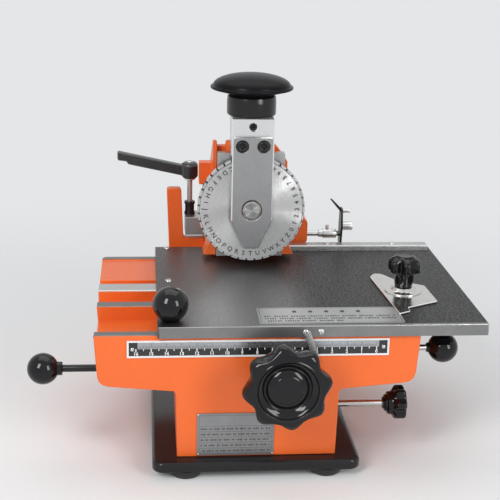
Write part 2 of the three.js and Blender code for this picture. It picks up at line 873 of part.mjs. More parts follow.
function pinion() {
  const shape = new THREE.Shape();
  const tooth_angle = 2 * Math.PI / pinion_teeth;
  const half_angle = tooth_angle / 4 - tooth_backlash / 2 / pinion_radius;
  const root = pinion_radius - gear_module - tooth_root_clearance;
  const tip = pinion_radius + gear_module;
  const flank = [[root, half_angle * 1.55], [pinion_radius, half_angle], [tip, half_angle * 0.36]];
  const tooth = [...flank.map(([r, a]) => [r, -a]), ...flank.toReversed()];
  for (let at = 0; at < pinion_teeth; at += 1) {
    for (const [radius, angle] of tooth) {
      const turn = Math.PI / 2 + at * tooth_angle + angle;
      const point = [radius * Math.cos(turn), radius * Math.sin(turn)];
      if (at === 0 && shape.curves.length === 0 && radius === root && angle < 0) shape.moveTo(...point);
      else shape.lineTo(...point);
    }
  }
  shape.closePath();
  const blank = prism_y(shape, pinion_y, pinion_y + pinion_width).translate(handwheel_x, 0, handwheel_z);
  return cut(blank, rod_y(
    handwheel_shaft_radius + seat_gap, pinion_y - overrun, pinion_y + pinion_width + overrun,
    handwheel_x, handwheel_z,
  ));
}
piece('pinion', pinion(), ground_steel);

// Spacing screw: a steel rod with a black lobed knob on its end
const spacing_hub_x = spacing_neck_x + spacing_neck_length;
const spacing_disc_x = spacing_hub_x + spacing_hub_length;
piece('spacing_screw', rod_x(
  spacing_shaft_radius, spacing_shaft_start, spacing_neck_x + spacing_grip - seat_gap, spacing_y, spacing_z,
), bright_steel);

function spacing_knob() {
  const end = spacing_disc_x + spacing_disc_length;
  const edge = spacing_disc_length / 6;
  const profile = [
    [0, spacing_neck_x], [spacing_neck_radius, spacing_neck_x], [spacing_neck_radius, spacing_hub_x],
    [spacing_hub_radius * 0.94, spacing_hub_x], [spacing_hub_radius, spacing_disc_x],
    [spacing_disc_radius - edge, spacing_disc_x], [spacing_disc_radius, spacing_disc_x + edge],
    [spacing_disc_radius, end - edge], [spacing_disc_radius - edge, end], [0, end],
  ];
  const star = lobed_outline(
    spacing_disc_radius, spacing_disc_radius * 0.18, spacing_lobes, -Math.PI / 2, lobe_steps,
  );
  const grip = prism_x(star, spacing_neck_x - overrun, end + overrun).translate(0, spacing_y, spacing_z);
  const shaft_hole = rod_x(
    spacing_shaft_radius + seat_gap, spacing_neck_x - overrun, spacing_neck_x + spacing_grip, spacing_y, spacing_z,
  );
  return cut(turned_x(profile, spacing_y, spacing_z, round_sides).intersect(grip), shaft_hole);
}
piece('spacing_knob', spacing_knob(), black_plastic);

// Ball levers: a push rod through the side wall, with a collar inside it
function lever_rod(radius, inner, outer) {
  const sign = Math.sign(outer);
  const collar_far = column_half - cavity_wall - rod_collar_play;
  const collar_near = collar_far - rod_collar_width;
  const along = [
    [0, inner], [radius, inner], [radius, collar_near], [rod_collar_radius, collar_near],
    [rod_collar_radius, collar_far], [radius, collar_far], [radius, Math.abs(outer)], [0, Math.abs(outer)],
  ];
  return along.map(([r, h]) => [r, sign * h]);
}

function lever_ball(centre, rod_radius, neck_radius, neck_length, y, z) {
  const sign = Math.sign(centre);
  const shape = ball_profile(lever_ball_radius, neck_radius, neck_length, ball_steps);
  const profile = shape.map(([r, h]) => [r, centre + sign * h]);
  const rod_end = centre - sign * (lever_ball_radius - rod_grip);
  const mouth = centre - sign * (lever_ball_radius + neck_length + overrun);
  const hole = rod_x(rod_radius + seat_gap, Math.min(mouth, rod_end), Math.max(mouth, rod_end), y, z);
  return cut(turned_x(profile, y, z, round_sides), hole);
}

function rod_tip(centre) {
  return centre - Math.sign(centre) * (lever_ball_radius - rod_grip + seat_gap);
}

piece('left_lever_rod', turned_x(
  lever_rod(left_rod_radius, rod_inner_x, rod_tip(left_ball_x)), left_lever_y, left_lever_z, small_sides,
), black_paint);
piece('left_lever_ball', lever_ball(
  left_ball_x, left_rod_radius, left_neck_radius, left_neck_length, left_lever_y, left_lever_z,
), black_plastic);
piece('right_lever_rod', turned_x(
  lever_rod(right_rod_radius, rod_inner_x, rod_tip(right_ball_x)), right_lever_y, right_lever_z, small_sides,
), bright_steel);
piece('right_lever_ball', lever_ball(
  right_ball_x, right_rod_radius, right_neck_radius, right_neck_length, right_lever_y, right_lever_z,
), black_plastic);

// Head casting: a C-shaped column that carries the press over the platform
const head_low = platform_top + head_low_lift;
const head_back = head_column_y + head_column_depth;
const nose_back = head_front_y + head_nose_depth;
const throat_z = platform_top + head_throat_lift;
const slot_top = peg_low + peg_height + press_travel;
function head_profile() {
  return outline([
    [head_front_y, head_low], [nose_back, head_low], [nose_back, throat_z], [head_column_y, throat_z],
    [head_column_y, base_top], [head_back, base_top], [head_back, head_top - head_back_drop, head_crown_depth * 0.7],
    [head_back - head_crown_depth, head_shoulder_z, head_crown_depth / 2],
    [head_column_y, head_top - head_nose_drop, head_crown_depth / 4],
    [head_front_y + head_nose_flat, head_top], [head_front_y, head_top],
  ]);
}
function head_casting() {
  const foot_z = head_low + head_foot_height;
  const crown_z = head_top - head_chamfer_z;
  const side = outline([
    [head_x - head_foot_half, head_low], [head_x + head_foot_half, head_low],
    [head_x + head_side_half, foot_z, head_foot_height / 4], [head_x + head_side_half, crown_z],
    [head_x + head_side_half - head_chamfer_x, head_top], [head_x - head_side_half, head_top],
    [head_x - head_side_half, foot_z, head_foot_height / 4],
  ]);
  const column = outline([
    [head_x - head_column_half, base_top], [head_x + head_column_half, base_top],
    [head_x + head_column_half, head_shoulder_z], [head_x + head_crown_half, crown_z],
    [head_x + head_crown_half, head_top], [head_x - head_crown_half, head_top],
    [head_x - head_crown_half, crown_z], [head_x - head_column_half, head_shoulder_z],
  ]);
  const profile = head_profile();
  const nose = prism_x(profile, head_x - head_foot_half, head_x + head_foot_half)
    .intersect(prism_y(side, head_front_y, head_column_y));
  const mast = prism_x(profile, head_x - head_column_half, head_x + head_column_half)
    .intersect(prism_y(column, head_column_y - overrun, head_back));
  const flange = box(
    head_x - head_flange_half, head_x + head_flange_half, head_column_y, head_back,
    base_top, base_top + head_flange_height,
  );
  const right_lug = prism_y(outline([
    [head_x, right_lug_low], [head_x + right_lug_reach, right_lug_low, bracket_corner],
    [head_x + right_lug_reach, right_lug_low + right_lug_height, bracket_corner * 2],
    [head_x, right_lug_low + right_lug_height],
  ]), head_column_y, head_column_y + right_lug_depth);
  const left_lug = box(
    head_x - left_lug_reach, head_x, head_column_y - left_lug_setback,
    head_column_y - left_lug_setback + left_lug_depth,
    left_lug_low, left_lug_low + left_lug_height,
  );
  return cut(
    join(nose, mast, flange, right_lug, left_lug),
    ...[-1, 1].map((side_sign) => guide_key(side_sign, seat_gap, head_low - overrun, head_top + overrun)),
    ...[-1, 1].map((side_sign) => box(
      head_x + side_sign * guide_spread - head_notch_width / 2, head_x + side_sign * guide_spread + head_notch_width / 2,
      head_front_y - overrun, nose_back, head_top - head_notch_depth, head_top + overrun,
    )),
    rod_z(stem_radius + seat_gap, spring_low, head_top + overrun, head_x, press_axis_y, round_sides),
    rod_z(
      spring_bore_radius, head_low - overrun, stem_head_low + stem_head_height + seat_gap,
      head_x, press_axis_y, round_sides,
    ),
    box(
      head_x - slot_half, head_x + slot_half, head_front_y - overrun, rocker_y + rocker_hub_radius + overrun,
      rocker_z - rocker_hub_radius - overrun, slot_top,
    ),
    rod_x(rocker_radius + seat_gap, -rocker_left_reach - seat_gap, head_x + head_flange_half, rocker_y, rocker_z),
    box(
      head_x - head_column_half + head_cavity_wall, head_x + head_column_half - head_cavity_wall,
      rocker_y + rocker_hub_radius + head_cavity_wall, head_back - head_cavity_wall,
      base_top - overrun, base_top + head_cavity_height,
    ),
  );
}

// Dovetail key of the slide, or with a clearance the groove that it runs in
function guide_key(side_sign, clearance, low, high) {
  const middle = head_x + side_sign * guide_spread;
  const near = head_front_y - seat_gap - clearance;
  const far = head_front_y - seat_gap + guide_depth + clearance;
  return prism_z(outline([
    [middle - guide_front_half - clearance, near], [middle + guide_front_half + clearance, near],
    [middle + guide_back_half + clearance, far], [middle - guide_back_half - clearance, far],
  ]), low, high);
}
piece('head_casting', head_casting(), orange_paint);

// Press slide: a steel plate with two dovetail keys and a peg on its back
const slide_back_y = head_front_y - seat_gap;
const slide_front_y = slide_back_y - slide_thickness;
const slide_low = platform_top + slide_low_lift;
const index_z = wheel_z - index_drop;
function press_slide() {
  const plate = box(
    head_x - slide_half, head_x + slide_half, slide_front_y, slide_back_y, slide_low, slide_top,
  );
  const keys = [-1, 1].map((side_sign) => guide_key(side_sign, 0, slide_low, slide_top - guide_top_drop));
  const peg = box(
    head_x - peg_half, head_x + peg_half, slide_back_y - overrun, peg_y + peg_width, peg_low, peg_low + peg_height,
  );
  const under_peg = box(
    head_x - peg_half - overrun, head_x + peg_half + overrun, slide_back_y, peg_y, peg_low - overrun,
    peg_low + peg_height / 4,
  );
  return cut(
    join(plate, ...keys, peg),
    under_peg,
    rod_y(axle_radius + seat_gap, slide_front_y - overrun, slide_front_y + axle_grip + seat_gap, head_x, wheel_z),
    rod_y(
      index_radius + seat_gap, slide_front_y - overrun, slide_front_y + index_spring_length * 2 + seat_gap,
      head_x, index_z,
    ),
  );
}
piece('press_slide', press_slide(), bright_steel);

// Press block: the steel block that joins the slide, the stem and the knob
const step_back_y = slide_back_y - seat_gap;
const screw_z = plate_top - plate_screw_drop;
const screw_places = [['left', head_x - plate_screw_spread], ['right', head_x + plate_screw_spread]];
function press_block() {
  const upper = box(
    head_x - block_half, head_x + block_half, block_front_y, block_front_y + block_depth, block_step, block_top,
  );
  const lower = box(
    head_x - block_half, head_x + block_half, block_front_y, step_back_y, slide_top, block_step + overrun,
  );
  const rear = box(
    head_x - block_rear_half, head_x + block_rear_half, block_front_y + block_depth - overrun,
    block_front_y + block_rear_depth, block_step, block_top,
  );
  const grip_hole = rod_y(
    grip_screw_radius, block_front_y - overrun, block_front_y + grip_screw_depth, head_x, block_top - grip_screw_drop,
  );
  const shank_holes = screw_places.map(([, x]) => rod_y(
    plate_screw_shank + seat_gap, block_front_y - overrun, block_front_y + plate_screw_length, x, screw_z,
  ));
  return cut(join(upper, lower, rear), grip_hole, ...shank_holes);
}
piece('press_block', press_block(), bright_steel);
piece('knob_set_screw', rod_y(
  grip_screw_radius - seat_gap, block_front_y + grip_screw_depth - grip_screw_length,
  block_front_y + grip_screw_depth, head_x, block_top - grip_screw_drop,
), dark_steel);

function press_stem() {
  const head_high = stem_head_low + stem_head_height;
  const profile = [
    [0, stem_head_low], [stem_head_radius, stem_head_low], [stem_head_radius, head_high],
    [stem_radius, head_high], [stem_radius, block_step], [0, block_step],
  ];
  return turned_z(profile, head_x, press_axis_y, round_sides);
}
piece('press_stem', press_stem(), bright_steel);

// Return spring and the plug that carries it inside the head
piece('press_spring', turned_z([
  [spring_radius - spring_wire, spring_low], [spring_radius, spring_low], [spring_radius, stem_head_low],
  [spring_radius - spring_wire, stem_head_low], [spring_radius - spring_wire, spring_low],
], head_x, press_axis_y, small_sides), dark_steel);
piece('spring_plug', rod_z(
  spring_bore_radius - seat_gap, spring_low - spring_plug_height, spring_low, head_x, press_axis_y, round_sides,
), ground_steel);

// Collar and mushroom knob, pressed by the palm
const collar_top = block_top + collar_height;
const knob_axis_y = block_front_y + block_rear_depth / 2;
piece('press_collar', turned_z([
  [0, block_top], [collar_radius * 0.97, block_top], [collar_radius, block_top + collar_height / 12],
  [collar_radius, collar_top - collar_height / 3], [collar_top_radius, collar_top], [0, collar_top],
], head_x, knob_axis_y, large_sides), black_plastic);

function press_knob() {
  const rim_low = collar_top + knob_under_rise;
  const rim_high = rim_low + knob_rim;
  const dome_radius = knob_radius - knob_rim;
  const profile = [
    [0, collar_top], [collar_top_radius - knob_wall / 2, collar_top],
    [collar_top_radius, collar_top + knob_under_rise / 3], [knob_radius - knob_wall, rim_low - knob_rim / 4],
    [knob_radius - knob_rim / 4, rim_low], [knob_radius, rim_low + knob_rim / 2],
    [knob_radius - knob_rim / 4, rim_high], [dome_radius, rim_high],
  ];
  const steps = 7;
  for (let step = 1; step < steps; step += 1) {
    const turn = step / steps * Math.PI / 2;
    profile.push([dome_radius * Math.cos(turn), rim_high + knob_dome * Math.sin(turn)]);
  }
  profile.push([0, rim_high + knob_dome]);
  return turned_z(profile, head_x, knob_axis_y, large_sides);
}
piece('press_knob', press_knob(), black_plastic);

// Pointer plate with its two screws
const plate_front_y = block_front_y - plate_sheet;
function pointer_plate() {
  const shape = outline([
    [head_x - plate_half, plate_top, plate_corner], [head_x + plate_half, plate_top, plate_corner],
    [head_x + plate_half, plate_shoulder, plate_corner / 2], [head_x + plate_tip_half, plate_tip, plate_corner / 2],
    [head_x - plate_tip_half, plate_tip, plate_corner / 2], [head_x - plate_half, plate_shoulder, plate_corner / 2],
  ]);
  const near = plate_front_y - overrun;
  const far = block_front_y + overrun;
  return cut(
    prism_y(shape, plate_front_y, block_front_y),
    rod_y(plate_eye_radius, near, far, head_x, wheel_z, round_sides),
    ...screw_places.map(([, x]) => rod_y(plate_screw_radius + seat_gap, near, far, x, screw_z)),
  );
}
piece('pointer_plate', pointer_plate(), bright_steel);

for (const [side, x] of screw_places) {
  const near = plate_front_y - plate_screw_proud;
  const far = block_front_y + plate_screw_length - seat_gap;
  const profile = [
    [0, near + plate_screw_socket_depth], [plate_screw_socket, near + plate_screw_socket_depth],
    [plate_screw_socket, near], [plate_screw_radius - plate_screw_proud, near],
    [plate_screw_radius, near + plate_screw_proud], [plate_screw_radius, block_front_y],
    [plate_screw_shank, block_front_y], [plate_screw_shank, far], [0, far],
  ];
  piece(`plate_screw_${side}`, turned_y(profile, x, screw_z, small_sides), dark_steel);
}

// Type wheel: forty type blocks stand around its rim
const wheel_back_y = wheel_front_y + wheel_thickness;
function type_wheel() {
  const shape = new THREE.Shape();
  const type_angle = 2 * Math.PI / wheel_types;
  const face_half = type_angle * type_width_share / 2;
  const root_half = type_angle * type_root_share / 2;
  for (let type = 0; type < wheel_types; type += 1) {
    const middle = type * type_angle;
    for (const [radius, angle] of [
      [wheel_radius - type_height, -root_half], [wheel_radius, -face_half],
      [wheel_radius, face_half], [wheel_radius - type_height, root_half],
    ]) {
      const turn = middle + angle;
      const point = [radius * Math.cos(turn), radius * Math.sin(turn)];
      if (type === 0 && angle === -root_half) shape.moveTo(...point);
      else shape.lineTo(...point);
    }
  }
  shape.closePath();
  const blank = prism_y(shape, wheel_front_y, wheel_back_y).translate(head_x, 0, wheel_z);
  return cut(blank, rod_y(
    wheel_bush_radius + seat_gap, wheel_front_y - overrun, wheel_back_y + overrun, head_x, wheel_z, round_sides,
  ));
}
piece('type_wheel', type_wheel(), bright_steel);

const bush_back_y = slide_front_y - seat_gap;
function wheel_bush() {
  const bore = axle_radius + seat_gap;
  const flange_y = wheel_back_y + seat_gap;
  const profile = [
    [bore, wheel_front_y], [wheel_bush_radius, wheel_front_y], [wheel_bush_radius, flange_y],
    [wheel_bush_flange, flange_y], [wheel_bush_flange, bush_back_y], [bore, bush_back_y], [bore, wheel_front_y],
  ];
  return turned_y(profile, head_x, wheel_z, round_sides);
}
piece('wheel_bush', wheel_bush(), brass);

function wheel_axle() {
  const near = plate_front_y - axle_head_proud;
  const head_back_y = wheel_front_y - seat_gap;
  const far = slide_front_y + axle_grip;
  const profile = [
    [0, near], [axle_head_radius - axle_head_proud / 2, near], [axle_head_radius, near + axle_head_proud / 2],
    [axle_head_radius, head_back_y], [axle_radius, head_back_y], [axle_radius, far], [0, far],
  ];
  return turned_y(profile, head_x, wheel_z, round_sides);
}
piece('wheel_axle', wheel_axle(), bright_steel);

// Index plunger: a sprung pin behind the wheel that holds each letter in place
const plunger_back_y = slide_front_y + index_spring_length;
function index_plunger() {
  const near = wheel_back_y + seat_gap;
  const profile = [
    [0, near], [index_radius - index_nose, near], [index_radius, near + index_nose],
    [index_radius, plunger_back_y], [0, plunger_back_y],
  ];
  return turned_y(profile, head_x, index_z, small_sides);
}
piece('index_plunger', index_plunger(), dark_steel);
piece('index_spring', rod_y(
  index_spring_radius, plunger_back_y, plunger_back_y + index_spring_length, head_x, index_z,
), dark_steel);

// Rocker: the cross shaft that the slide's peg tips at each stroke
piece('rocker_shaft', rod_x(rocker_radius, -rocker_left_reach, rocker_right_reach, rocker_y, rocker_z), bright_steel);

const rocker_hole = rocker_radius + seat_gap;
function rocker_arm() {
  const high = peg_low - seat_gap;
  const section = outline([
    [rocker_arm_tip_y, high - rocker_arm_thickness / 2, rocker_arm_thickness / 4],
    [rocker_arm_tip_y, high, rocker_arm_thickness / 4], [rocker_y, high],
    [rocker_y, high - rocker_arm_thickness], [rocker_arm_tip_y + peg_width, high - rocker_arm_thickness],
  ]);
  const arm = prism_x(section, head_x - rocker_arm_half, head_x + rocker_arm_half);
  const hub = rod_x(rocker_hub_radius, head_x - rocker_arm_half, head_x + rocker_arm_half, rocker_y, rocker_z, small_sides);
  const bore = rod_x(rocker_hole, head_x - rocker_arm_half - overrun, head_x + rocker_arm_half + overrun, rocker_y, rocker_z);
  return cut(join(arm, hub), bore);
}
piece('rocker_arm', rocker_arm(), ground_steel);

piece('rocker_collar', cut(
  join(
    rod_x(rocker_collar_radius, rocker_collar_x, rocker_collar_x + rocker_collar_length, rocker_y, rocker_z),
    rod_x(rocker_collar_radius * 0.8, rocker_washer_x, rocker_collar_x + overrun, rocker_y, rocker_z),
    rod_z(
      rocker_collar_radius / 3, rocker_z + rocker_radius + overrun, rocker_z + rocker_collar_radius * 1.9,
      rocker_collar_x + rocker_collar_length / 3, rocker_y,
    ),
  ),
  rod_x(rocker_hole, rocker_washer_x - overrun, rocker_collar_x + rocker_collar_length + overrun, rocker_y, rocker_z),
), bright_steel);

// Feed lever: a flat black plate on the shaft with a pin and a roller
const feed_lever_right = feed_lever_x + feed_lever_sheet;
const pin_y = rocker_y - feed_lever_half / 4;
function feed_lever() {
  const high = rocker_z + feed_lever_up;
  const shape = outline([
    [rocker_y - feed_lever_half, rocker_z - feed_lever_down, feed_lever_half / 3],
    [rocker_y + feed_lever_half, rocker_z - feed_lever_down, feed_lever_half / 3],
    [rocker_y + feed_lever_half, rocker_z + feed_lever_down], [rocker_y + feed_lever_half / 2, high, feed_lever_half / 3],
    [rocker_y - feed_lever_half, high, feed_lever_half / 3], [rocker_y - feed_lever_half * 1.6, rocker_z + feed_lever_down],
  ]);
  const plate = prism_x(shape, feed_lever_x, feed_lever_right);
  const ear = prism_y(outline([
    [feed_lever_x, high - feed_lever_sheet * 2], [feed_lever_right, high - feed_lever_sheet],
    [feed_lever_x - feed_lever_ear, high + feed_lever_ear], [feed_lever_x - feed_lever_ear - feed_lever_sheet, high + feed_lever_ear],
  ]), rocker_y - feed_lever_half / 2, rocker_y + feed_lever_half / 4);
  return cut(
    join(plate, ear),
    rod_x(rocker_hole, feed_lever_x - overrun, feed_lever_right + overrun, rocker_y, rocker_z),
  );
}
piece('feed_lever', feed_lever(), dark_steel);
piece('feed_pin', rod_x(
  feed_pin_radius, feed_lever_right, feed_lever_right + feed_pin_length, pin_y, feed_pin_z,
), bright_steel);
piece('feed_roller', rod_x(
  feed_roller_radius, feed_lever_right, feed_lever_right + feed_roller_length, rocker_y - feed_roller_setback, feed_roller_z, round_sides,
), bright_steel);

// Clamp bracket: an orange L-shaped casting on the left of the mast
const mast_left = head_x - head_column_half;
function clamp_bracket() {
  const post_right = bracket_left + bracket_post;
  const leg_top = bracket_low + bracket_leg;
  return prism_y(outline([
    [bracket_left + bracket_taper, bracket_low, bracket_corner], [mast_left, bracket_low], [mast_left, leg_top],
    [post_right + bracket_taper, leg_top, bracket_corner], [post_right, bracket_top, bracket_corner],
    [bracket_left, bracket_top, bracket_corner],
  ]), bracket_y, bracket_y + bracket_depth);
}
piece('clamp_bracket', clamp_bracket(), orange_paint);

const clamp_block_top = clamp_block_low + clamp_block_height;
piece('clamp_block', cut(
  box(
    clamp_block_left, mast_left - seat_gap, clamp_block_y, clamp_block_y + clamp_block_depth,
    clamp_block_low, clamp_block_top,
  ),
  rod_z(clamp_stud_radius + seat_gap, clamp_block_low - overrun, clamp_block_top + overrun, clamp_x, clamp_y),
), ground_steel);

const clamp_hole = clamp_stud_radius + seat_gap;
piece('clamp_nut', turned_z([
  [clamp_hole, clamp_block_top], [clamp_nut_radius, clamp_block_top],
  [clamp_nut_radius, clamp_block_top + clamp_washer_height],
  [clamp_nut_radius * 0.86, clamp_block_top + clamp_washer_height],
  [clamp_nut_radius * 0.86, clamp_block_top + clamp_nut_height - clamp_washer_height],
  [clamp_nut_radius, clamp_block_top + clamp_nut_height - clamp_washer_height],
  [clamp_nut_radius, clamp_block_top + clamp_nut_height], [clamp_hole, clamp_block_top + clamp_nut_height],
  [clamp_hole, clamp_block_top],
], clamp_x, clamp_y, round_sides), dark_steel);

piece('clamp_stud', rod_z(
  clamp_stud_radius, clamp_block_low + clamp_washer_height, clamp_hub_low + clamp_stud_grip - seat_gap, clamp_x, clamp_y,
), bright_steel);

// Clamp lever: a black handle that slopes up from its hub
function clamp_lever() {
  const hub_high = clamp_hub_low + clamp_hub_height;
  const edge = clamp_hub_height / 6;
  const hub = turned_z([
    [0, clamp_hub_low], [clamp_hub_radius * 0.8, clamp_hub_low], [clamp_hub_radius, clamp_hub_low + edge],
    [clamp_hub_radius, hub_high - edge], [clamp_hub_radius * 0.75, hub_high], [0, hub_high],
  ], clamp_x, clamp_y, round_sides);
  const tip_x = clamp_x - clamp_handle_reach;
  const tip_low = clamp_hub_low + clamp_handle_rise + clamp_handle_tip * 0.75;
  const root_x = clamp_x - clamp_hub_radius * 0.7;
  const lip_x = tip_x + clamp_handle_tip;
  const side = outline([
    [root_x, clamp_hub_low + edge], [clamp_x, clamp_hub_low + edge], [clamp_x, hub_high - edge],
    [root_x, hub_high - edge * 1.2], [tip_x, tip_low + clamp_handle_tip, clamp_handle_lip],
    [tip_x, tip_low, clamp_handle_lip], [lip_x, tip_low - clamp_handle_lip / 2],
    [lip_x + clamp_handle_lip, tip_low - clamp_handle_lip * 2],
  ]);
  const half = clamp_handle_width / 2;
  const arm = prism_y(side, clamp_y - half, clamp_y + half);
  const hollow = rod_z(clamp_hole, clamp_hub_low - overrun, clamp_hub_low + clamp_stud_grip, clamp_x, clamp_y);
  return cut(join(hub, arm), hollow);
}
piece('clamp_lever', clamp_lever(), black_paint);

export default machine;
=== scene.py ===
# Looks of a hand-operated nameplate marking machine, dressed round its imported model.
# Sizes are in millimetres: x from the middle of the body casting, y back from the
# body's front face, z up from the table. Every mesh is made in metres.
import math

import bmesh
import bpy
from mathutils import Matrix, Vector


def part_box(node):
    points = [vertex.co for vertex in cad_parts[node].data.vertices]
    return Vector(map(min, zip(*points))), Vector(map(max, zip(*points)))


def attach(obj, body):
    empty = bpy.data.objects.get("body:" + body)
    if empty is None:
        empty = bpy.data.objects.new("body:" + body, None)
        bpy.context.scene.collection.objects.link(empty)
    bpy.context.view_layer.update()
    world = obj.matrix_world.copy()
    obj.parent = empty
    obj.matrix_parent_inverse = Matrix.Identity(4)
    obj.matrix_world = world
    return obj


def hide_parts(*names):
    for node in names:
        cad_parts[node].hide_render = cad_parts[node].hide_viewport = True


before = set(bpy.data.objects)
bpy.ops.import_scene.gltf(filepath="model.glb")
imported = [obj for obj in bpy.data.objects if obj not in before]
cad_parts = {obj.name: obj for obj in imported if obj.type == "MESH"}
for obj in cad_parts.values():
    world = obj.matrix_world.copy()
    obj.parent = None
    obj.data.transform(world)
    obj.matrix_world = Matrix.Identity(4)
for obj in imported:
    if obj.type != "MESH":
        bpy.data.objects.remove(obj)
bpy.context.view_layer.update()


# Studio
# A wide pale floor under plain soft light, seen by a camera a little above the
# machine and turned slightly to the right.
MM = 0.001
body_front = -100
camera_place = (-0.0740, -0.8052, 0.3783)
backdrop_colour = (0.78, 0.79, 0.80, 1)


def row(x, y, z):
    """A point from the body's front face, in the frame's metres."""
    return Vector((x, y + body_front, z)) * MM


def add_camera():
    focal_pixels = 1150.7
    picture_pixels = 500
    sensor = 36
    yaw, pitch, roll = math.radians(5.372), math.radians(17.140), math.radians(1.348)
    up = Vector((0, 0, 1))
    level = Vector((math.sin(yaw), math.cos(yaw), 0))
    across = Vector((math.cos(yaw), -math.sin(yaw), 0))
    forward = level * math.cos(pitch) - up * math.sin(pitch)
    upright = up * math.cos(pitch) + level * math.sin(pitch)
    side = across * math.cos(roll) + upright * math.sin(roll)
    top = upright * math.cos(roll) - across * math.sin(roll)
    lens = bpy.data.cameras.new("camera")
    lens.sensor_width = sensor
    lens.lens = focal_pixels / picture_pixels * sensor
    lens.clip_start = 0.02
    camera = bpy.data.objects.new("camera", lens)
    turned = Matrix((side, top, -forward)).transposed().to_4x4()
    camera.matrix_world = Matrix.Translation(camera_place) @ turned
    bpy.context.scene.collection.objects.link(camera)
    bpy.context.scene.camera = camera


def add_softbox(name, place, target, size, watts):
    lamp = bpy.data.lights.new(name, "AREA")
    lamp.shape = "RECTANGLE"
    lamp.size, lamp.size_y = size
    lamp.energy = watts
    softbox = bpy.data.objects.new(name, lamp)
    aim = Vector(target) - Vector(place)
    softbox.matrix_world = Matrix.Translation(place) @ aim.to_track_quat("-Z", "Y").to_matrix().to_4x4()
    bpy.context.scene.collection.objects.link(softbox)


def maths(nodes, links, operation, first, second):
    """The result of one operation on two sockets."""
    made = nodes.new("ShaderNodeMath")
    made.operation = operation
    links.new(first, made.inputs[0])
    links.new(second, made.inputs[1])
    return made.outputs[0]


def ramp(nodes, links, value, low, high, to_low=0, to_high=1, eased=False):
    """Goes from to_low to to_high while the value goes from low to high."""
    made = nodes.new("ShaderNodeMapRange")
    if eased:
        made.interpolation_type = "SMOOTHSTEP"
    made.inputs["From Min"].default_value = low
    made.inputs["From Max"].default_value = high
    made.inputs["To Min"].default_value = to_low
    made.inputs["To Max"].default_value = to_high
    links.new(value, made.inputs["Value"])
    return made.outputs["Result"]


def seen_background(nodes, links):
    """One where a ray from the camera, a reflection or glass looks at the background."""
    path = nodes.new("ShaderNodeLightPath").outputs
    direct = maths(nodes, links, "MAXIMUM", path["Is Camera Ray"], path["Is Glossy Ray"])
    return maths(nodes, links, "MAXIMUM", direct, path["Is Transmission Ray"])


def add_floor():
    """Paper that keeps the machine's shadow near it and becomes the backdrop further out."""
    fade_near, fade_far = 0.03, 0.70
    paper = bpy.data.materials.new("studio_paper")
    paper.use_nodes = True
    nodes, links = paper.node_tree.nodes, paper.node_tree.links
    shader = nodes["Principled BSDF"]
    shader.inputs["Base Color"].default_value = (0.84, 0.85, 0.85, 1)
    shader.inputs["Roughness"].default_value = 0.8
    far = nodes.new("ShaderNodeEmission")
    far.inputs["Color"].default_value = backdrop_colour
    reach = nodes.new("ShaderNodeVectorMath")
    reach.operation = "LENGTH"
    links.new(nodes.new("ShaderNodeTexCoord").outputs["Object"], reach.inputs[0])
    fade = ramp(nodes, links, reach.outputs["Value"], fade_near, fade_far, eased=True)
    mix = nodes.new("ShaderNodeMixShader")
    links.new(maths(nodes, links, "MULTIPLY", fade, seen_background(nodes, links)), mix.inputs["Fac"])
    links.new(shader.outputs["BSDF"], mix.inputs[1])
    links.new(far.outputs["Emission"], mix.inputs[2])
    links.new(mix.outputs[0], nodes["Material Output"].inputs["Surface"])
    bm = bmesh.new()
    bmesh.ops.create_circle(bm, cap_ends=True, segments=96, radius=6)
    mesh = bpy.data.meshes.new("studio_floor")
    bm.to_mesh(mesh)
    bm.free()
    mesh.materials.append(paper)
    floor = bpy.data.objects.new("studio_floor", mesh)
    bpy.context.scene.collection.objects.link(floor)


def set_world():
    world = bpy.data.worlds.new("studio")
    world.use_nodes = True
    bpy.context.scene.world = world
    nodes, links = world.node_tree.nodes, world.node_tree.links
    fill = nodes["Background"]
    fill.inputs["Color"].default_value = (0.93, 0.96, 1.0, 1)
    fill.inputs["Strength"].default_value = 0.30
    backdrop = nodes.new("ShaderNodeBackground")
    backdrop.inputs["Color"].default_value = backdrop_colour
    mix = nodes.new("ShaderNodeMixShader")
    links.new(seen_background(nodes, links), mix.inputs["Fac"])
    links.new(fill.outputs[0], mix.inputs[1])
    links.new(backdrop.outputs[0], mix.inputs[2])
    links.new(mix.outputs[0], nodes["World Output"].inputs["Surface"])


add_camera()
machine_middle = (0, -0.03, 0.11)
add_softbox("left_window", (-0.60, -0.83, 0.80), machine_middle, (0.34, 0.62), 7.9)
add_softbox("right_window", (0.69, -0.88, 0.50), machine_middle, (0.31, 0.64), 5.5)
add_softbox("overhead", (0.05, 0.25, 1.30), machine_middle, (1.4, 1.0), 6)
add_floor()
set_world()
bpy.context.scene.view_settings.view_transform = "Standard"


